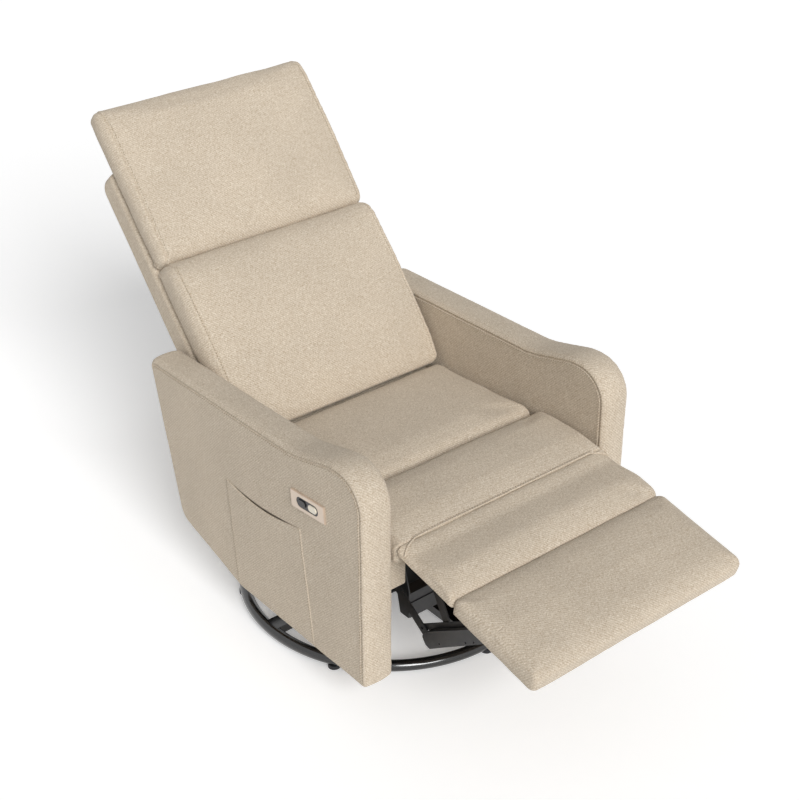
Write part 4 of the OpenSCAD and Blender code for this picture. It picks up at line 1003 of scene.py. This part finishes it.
bm = flat_piece(slit_curve(PANEL_SAG) + [tuple(FOOT_FRONT), tuple(FOOT_BACK)], PANEL_IN, PANEL_OUT)
round_edges(bm, edges_at(bm, PANEL_OUT), PANEL_ROUND, 2)
cut_rows(bm, 1, rows(*PANEL_Y, PANEL_ROW_MM))
cut_rows(bm, 2, rows(*PANEL_Z, PANEL_ROW_MM))
for v in bm.verts:
    belly(v)
pocket = finish_object("pocket_panel", bm, cloth, "frame")
pocket.data.set_sharp_from_angle(angle=math.radians(60))
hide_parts("side_pocket")
sides = []
for top, foot, shift in ((SLIT_BACK, FOOT_BACK, -SIDE_THREAD_MM), (SLIT_FRONT, FOOT_FRONT, SIDE_THREAD_MM)):
    shares = [i / SIDE_PARTS for i in range(SIDE_PARTS + 1)]
    sides.append([Vector((PANEL_OUT, top[0] + (foot[0] - top[0]) * share + shift,
                          top[1] - HEM_MM + (foot[1] - top[1] + HEM_MM) * share)) * MM for share in shares])
stitch("pocket_stitches", sides, pocket, "frame")

# %% [markdown]

# %% [markdown]
# ## Back shell, corner pads and rear rail
# The outer back is a thin padded shell behind the two cushions. Its front lip reaches down behind
# the seat, so that no light shows through the crease. Two small pads fill the corners
# under the front of the seat, and a padded rail joins the arms at the rear. None of them shows
# much, so each is a plain block with a soft skin.

# %% Shell, pads and rail
SHELL = [(0, -132, 22), (676, -132, 30), (676, -63, 10), (-24, -63, 4), (-24, -80, 6), (0, -106, 8)]
PAD = [(-339, 294, 6), (-326, 294, 6), (-326, 372, 3), (-339, 372, 3)]
RAIL = [(240, 150, 5), (262, 150, 5), (262, 212, 5), (240, 212, 5)]


def build_plain(name, node, body, corners, x0, x1, rim, place=HERE, step=14):
    """A padded block with an even skin."""
    bm = foam_block(corners, x0, x1, rim)
    cut_rows(bm, 0, rows(x0, x1, step))
    for axis in (0, 1):
        cut_rows(bm, axis + 1, rows(*span(corners, axis), step))
    bmesh.ops.transform(bm, matrix=place, verts=bm.verts)
    piece = finish_object(name, bm, cloth, body)
    refine(piece, 2)
    soften(piece, 80, 0.8, seed=x0 * 0.01)
    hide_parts(node)
    print(name, len(piece.data.polygons), "faces")


build_plain("back_shell_cover", "back_shell", "back", SHELL, -280, 280, 14, BACK_PLACE)
build_plain("corner_pad_left", "seat_corner_pads", "seat", PAD, 231, 284, 5, step=9)
build_plain("corner_pad_right", "seat_corner_pads", "seat", PAD, -284, -231, 5, step=9)
build_plain("rear_rail_cover", "rear_rail", "frame", RAIL, -287, 287, 0, step=18)

# %% [markdown]
# ## Rocker springs
# The four coils stand on the turntable and carry the frame. When the chair rocks, each coil bends:
# its foot stays and its head follows the frame. Here the wire is drawn as one curve that rides on
# no body.

# %% Rocker springs
COIL_MM, WIRE_MM, TURNS, TURN_PARTS = 14, 2.2, 5, 20
low, high = [Vector(corner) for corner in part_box("rocker_springs")]
reach = (COIL_MM + WIRE_MM) * MM
tall, closed = high.z - low.z - 2 * WIRE_MM * MM, 2.1 * WIRE_MM * MM


def coil_path(centre):
    """One coil from foot to head. Its first and last turns lie against the next ones."""
    path = []
    for i in range(TURNS * TURN_PARTS + 1):
        turn = i / TURN_PARTS
        rise = closed + (tall - 2 * closed) * (turn - 1) / (TURNS - 2)
        if turn < 1:
            rise = closed * turn
        elif turn > TURNS - 1:
            rise = tall - closed * (TURNS - turn)
        angle = turn * 2 * math.pi
        path.append(centre + Vector((COIL_MM * MM * math.cos(angle), COIL_MM * MM * math.sin(angle), rise)))
    return path


foot_z = low.z + WIRE_MM * MM
feet = [Vector((x * (high.x - reach), y * (high.y - reach), foot_z)) for x in (-1, 1) for y in (-1, 1)]
coils = cord_along("rocker_coils", [coil_path(foot) for foot in feet], WIRE_MM, spring_wire)
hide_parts("rocker_springs")
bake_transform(coils)
print("springs have", len(coils.data.polygons), "faces")

# %% [markdown]
# ## Studio
# A broad soft light comes from in front of the chair and above, a little from its right, so faces
# that look forwards are the brightest. The rest is a plain white surround. The floor gets a small
# glow of its own that only the camera and reflections see, so it turns white and still keeps the
# chair's soft shadow.

# %% Light
KEY_WAY, KEY_SPREAD, KEY_STRENGTH = (0.26, 0.81, -0.53), 28, 2.85

key = bpy.data.lights.new("key", "SUN")
key.energy = KEY_STRENGTH
key.angle = math.radians(KEY_SPREAD)
lamp = bpy.data.objects.new("key", key)
bpy.context.scene.collection.objects.link(lamp)
lamp.rotation_euler = Vector(KEY_WAY).to_track_quat("-Z", "Y").to_euler()
print("key light is", KEY_SPREAD, "degrees wide")

# %% Floor and world
WHITE = (1, 1, 1, 1)
FLOOR_GLOW, FLOOR_SIZE, SURROUND = 0.23, 30, 0.34


def seen_directly(tree):
    """1 for what the camera sees straight, in a reflection or through glass, else 0."""
    path = add_node(tree, "LightPath").outputs
    either = add_node(tree, "Math", path["Is Camera Ray"], path["Is Glossy Ray"], operation="MAXIMUM")
    return add_node(tree, "Math", either, path["Is Transmission Ray"], operation="MAXIMUM")


floor_paint, tree, shader = start_material("white_floor")
glow = add_node(tree, "Math", seen_directly(tree), FLOOR_GLOW, operation="MULTIPLY")
fill_inputs(tree, shader, Base_Color=paint("#fbfbfb"), Roughness=0.9, Emission_Color=WHITE,
            Emission_Strength=glow)
bm = bmesh.new()
bmesh.ops.create_grid(bm, x_segments=1, y_segments=1, size=FLOOR_SIZE)
floor = finish_object("floor", bm, floor_paint, None)

world = bpy.data.worlds.new("studio")
bpy.context.scene.world = world
world.use_nodes = True
tree = world.node_tree
backdrop = tree.nodes["Background"]
fill_inputs(tree, backdrop, Color=WHITE, Strength=SURROUND)
white = add_node(tree, "Background", Color=WHITE, Strength=1.0)
both = add_node(tree, "MixShader", seen_directly(tree), backdrop, white)
fill_inputs(tree, tree.nodes["World Output"], both)
bpy.context.scene.view_settings.view_transform = "Standard"
print("floor and world are white")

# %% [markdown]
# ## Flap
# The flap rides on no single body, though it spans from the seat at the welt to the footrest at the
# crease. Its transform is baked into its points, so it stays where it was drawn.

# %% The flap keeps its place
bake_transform(covers["flap_pad"])
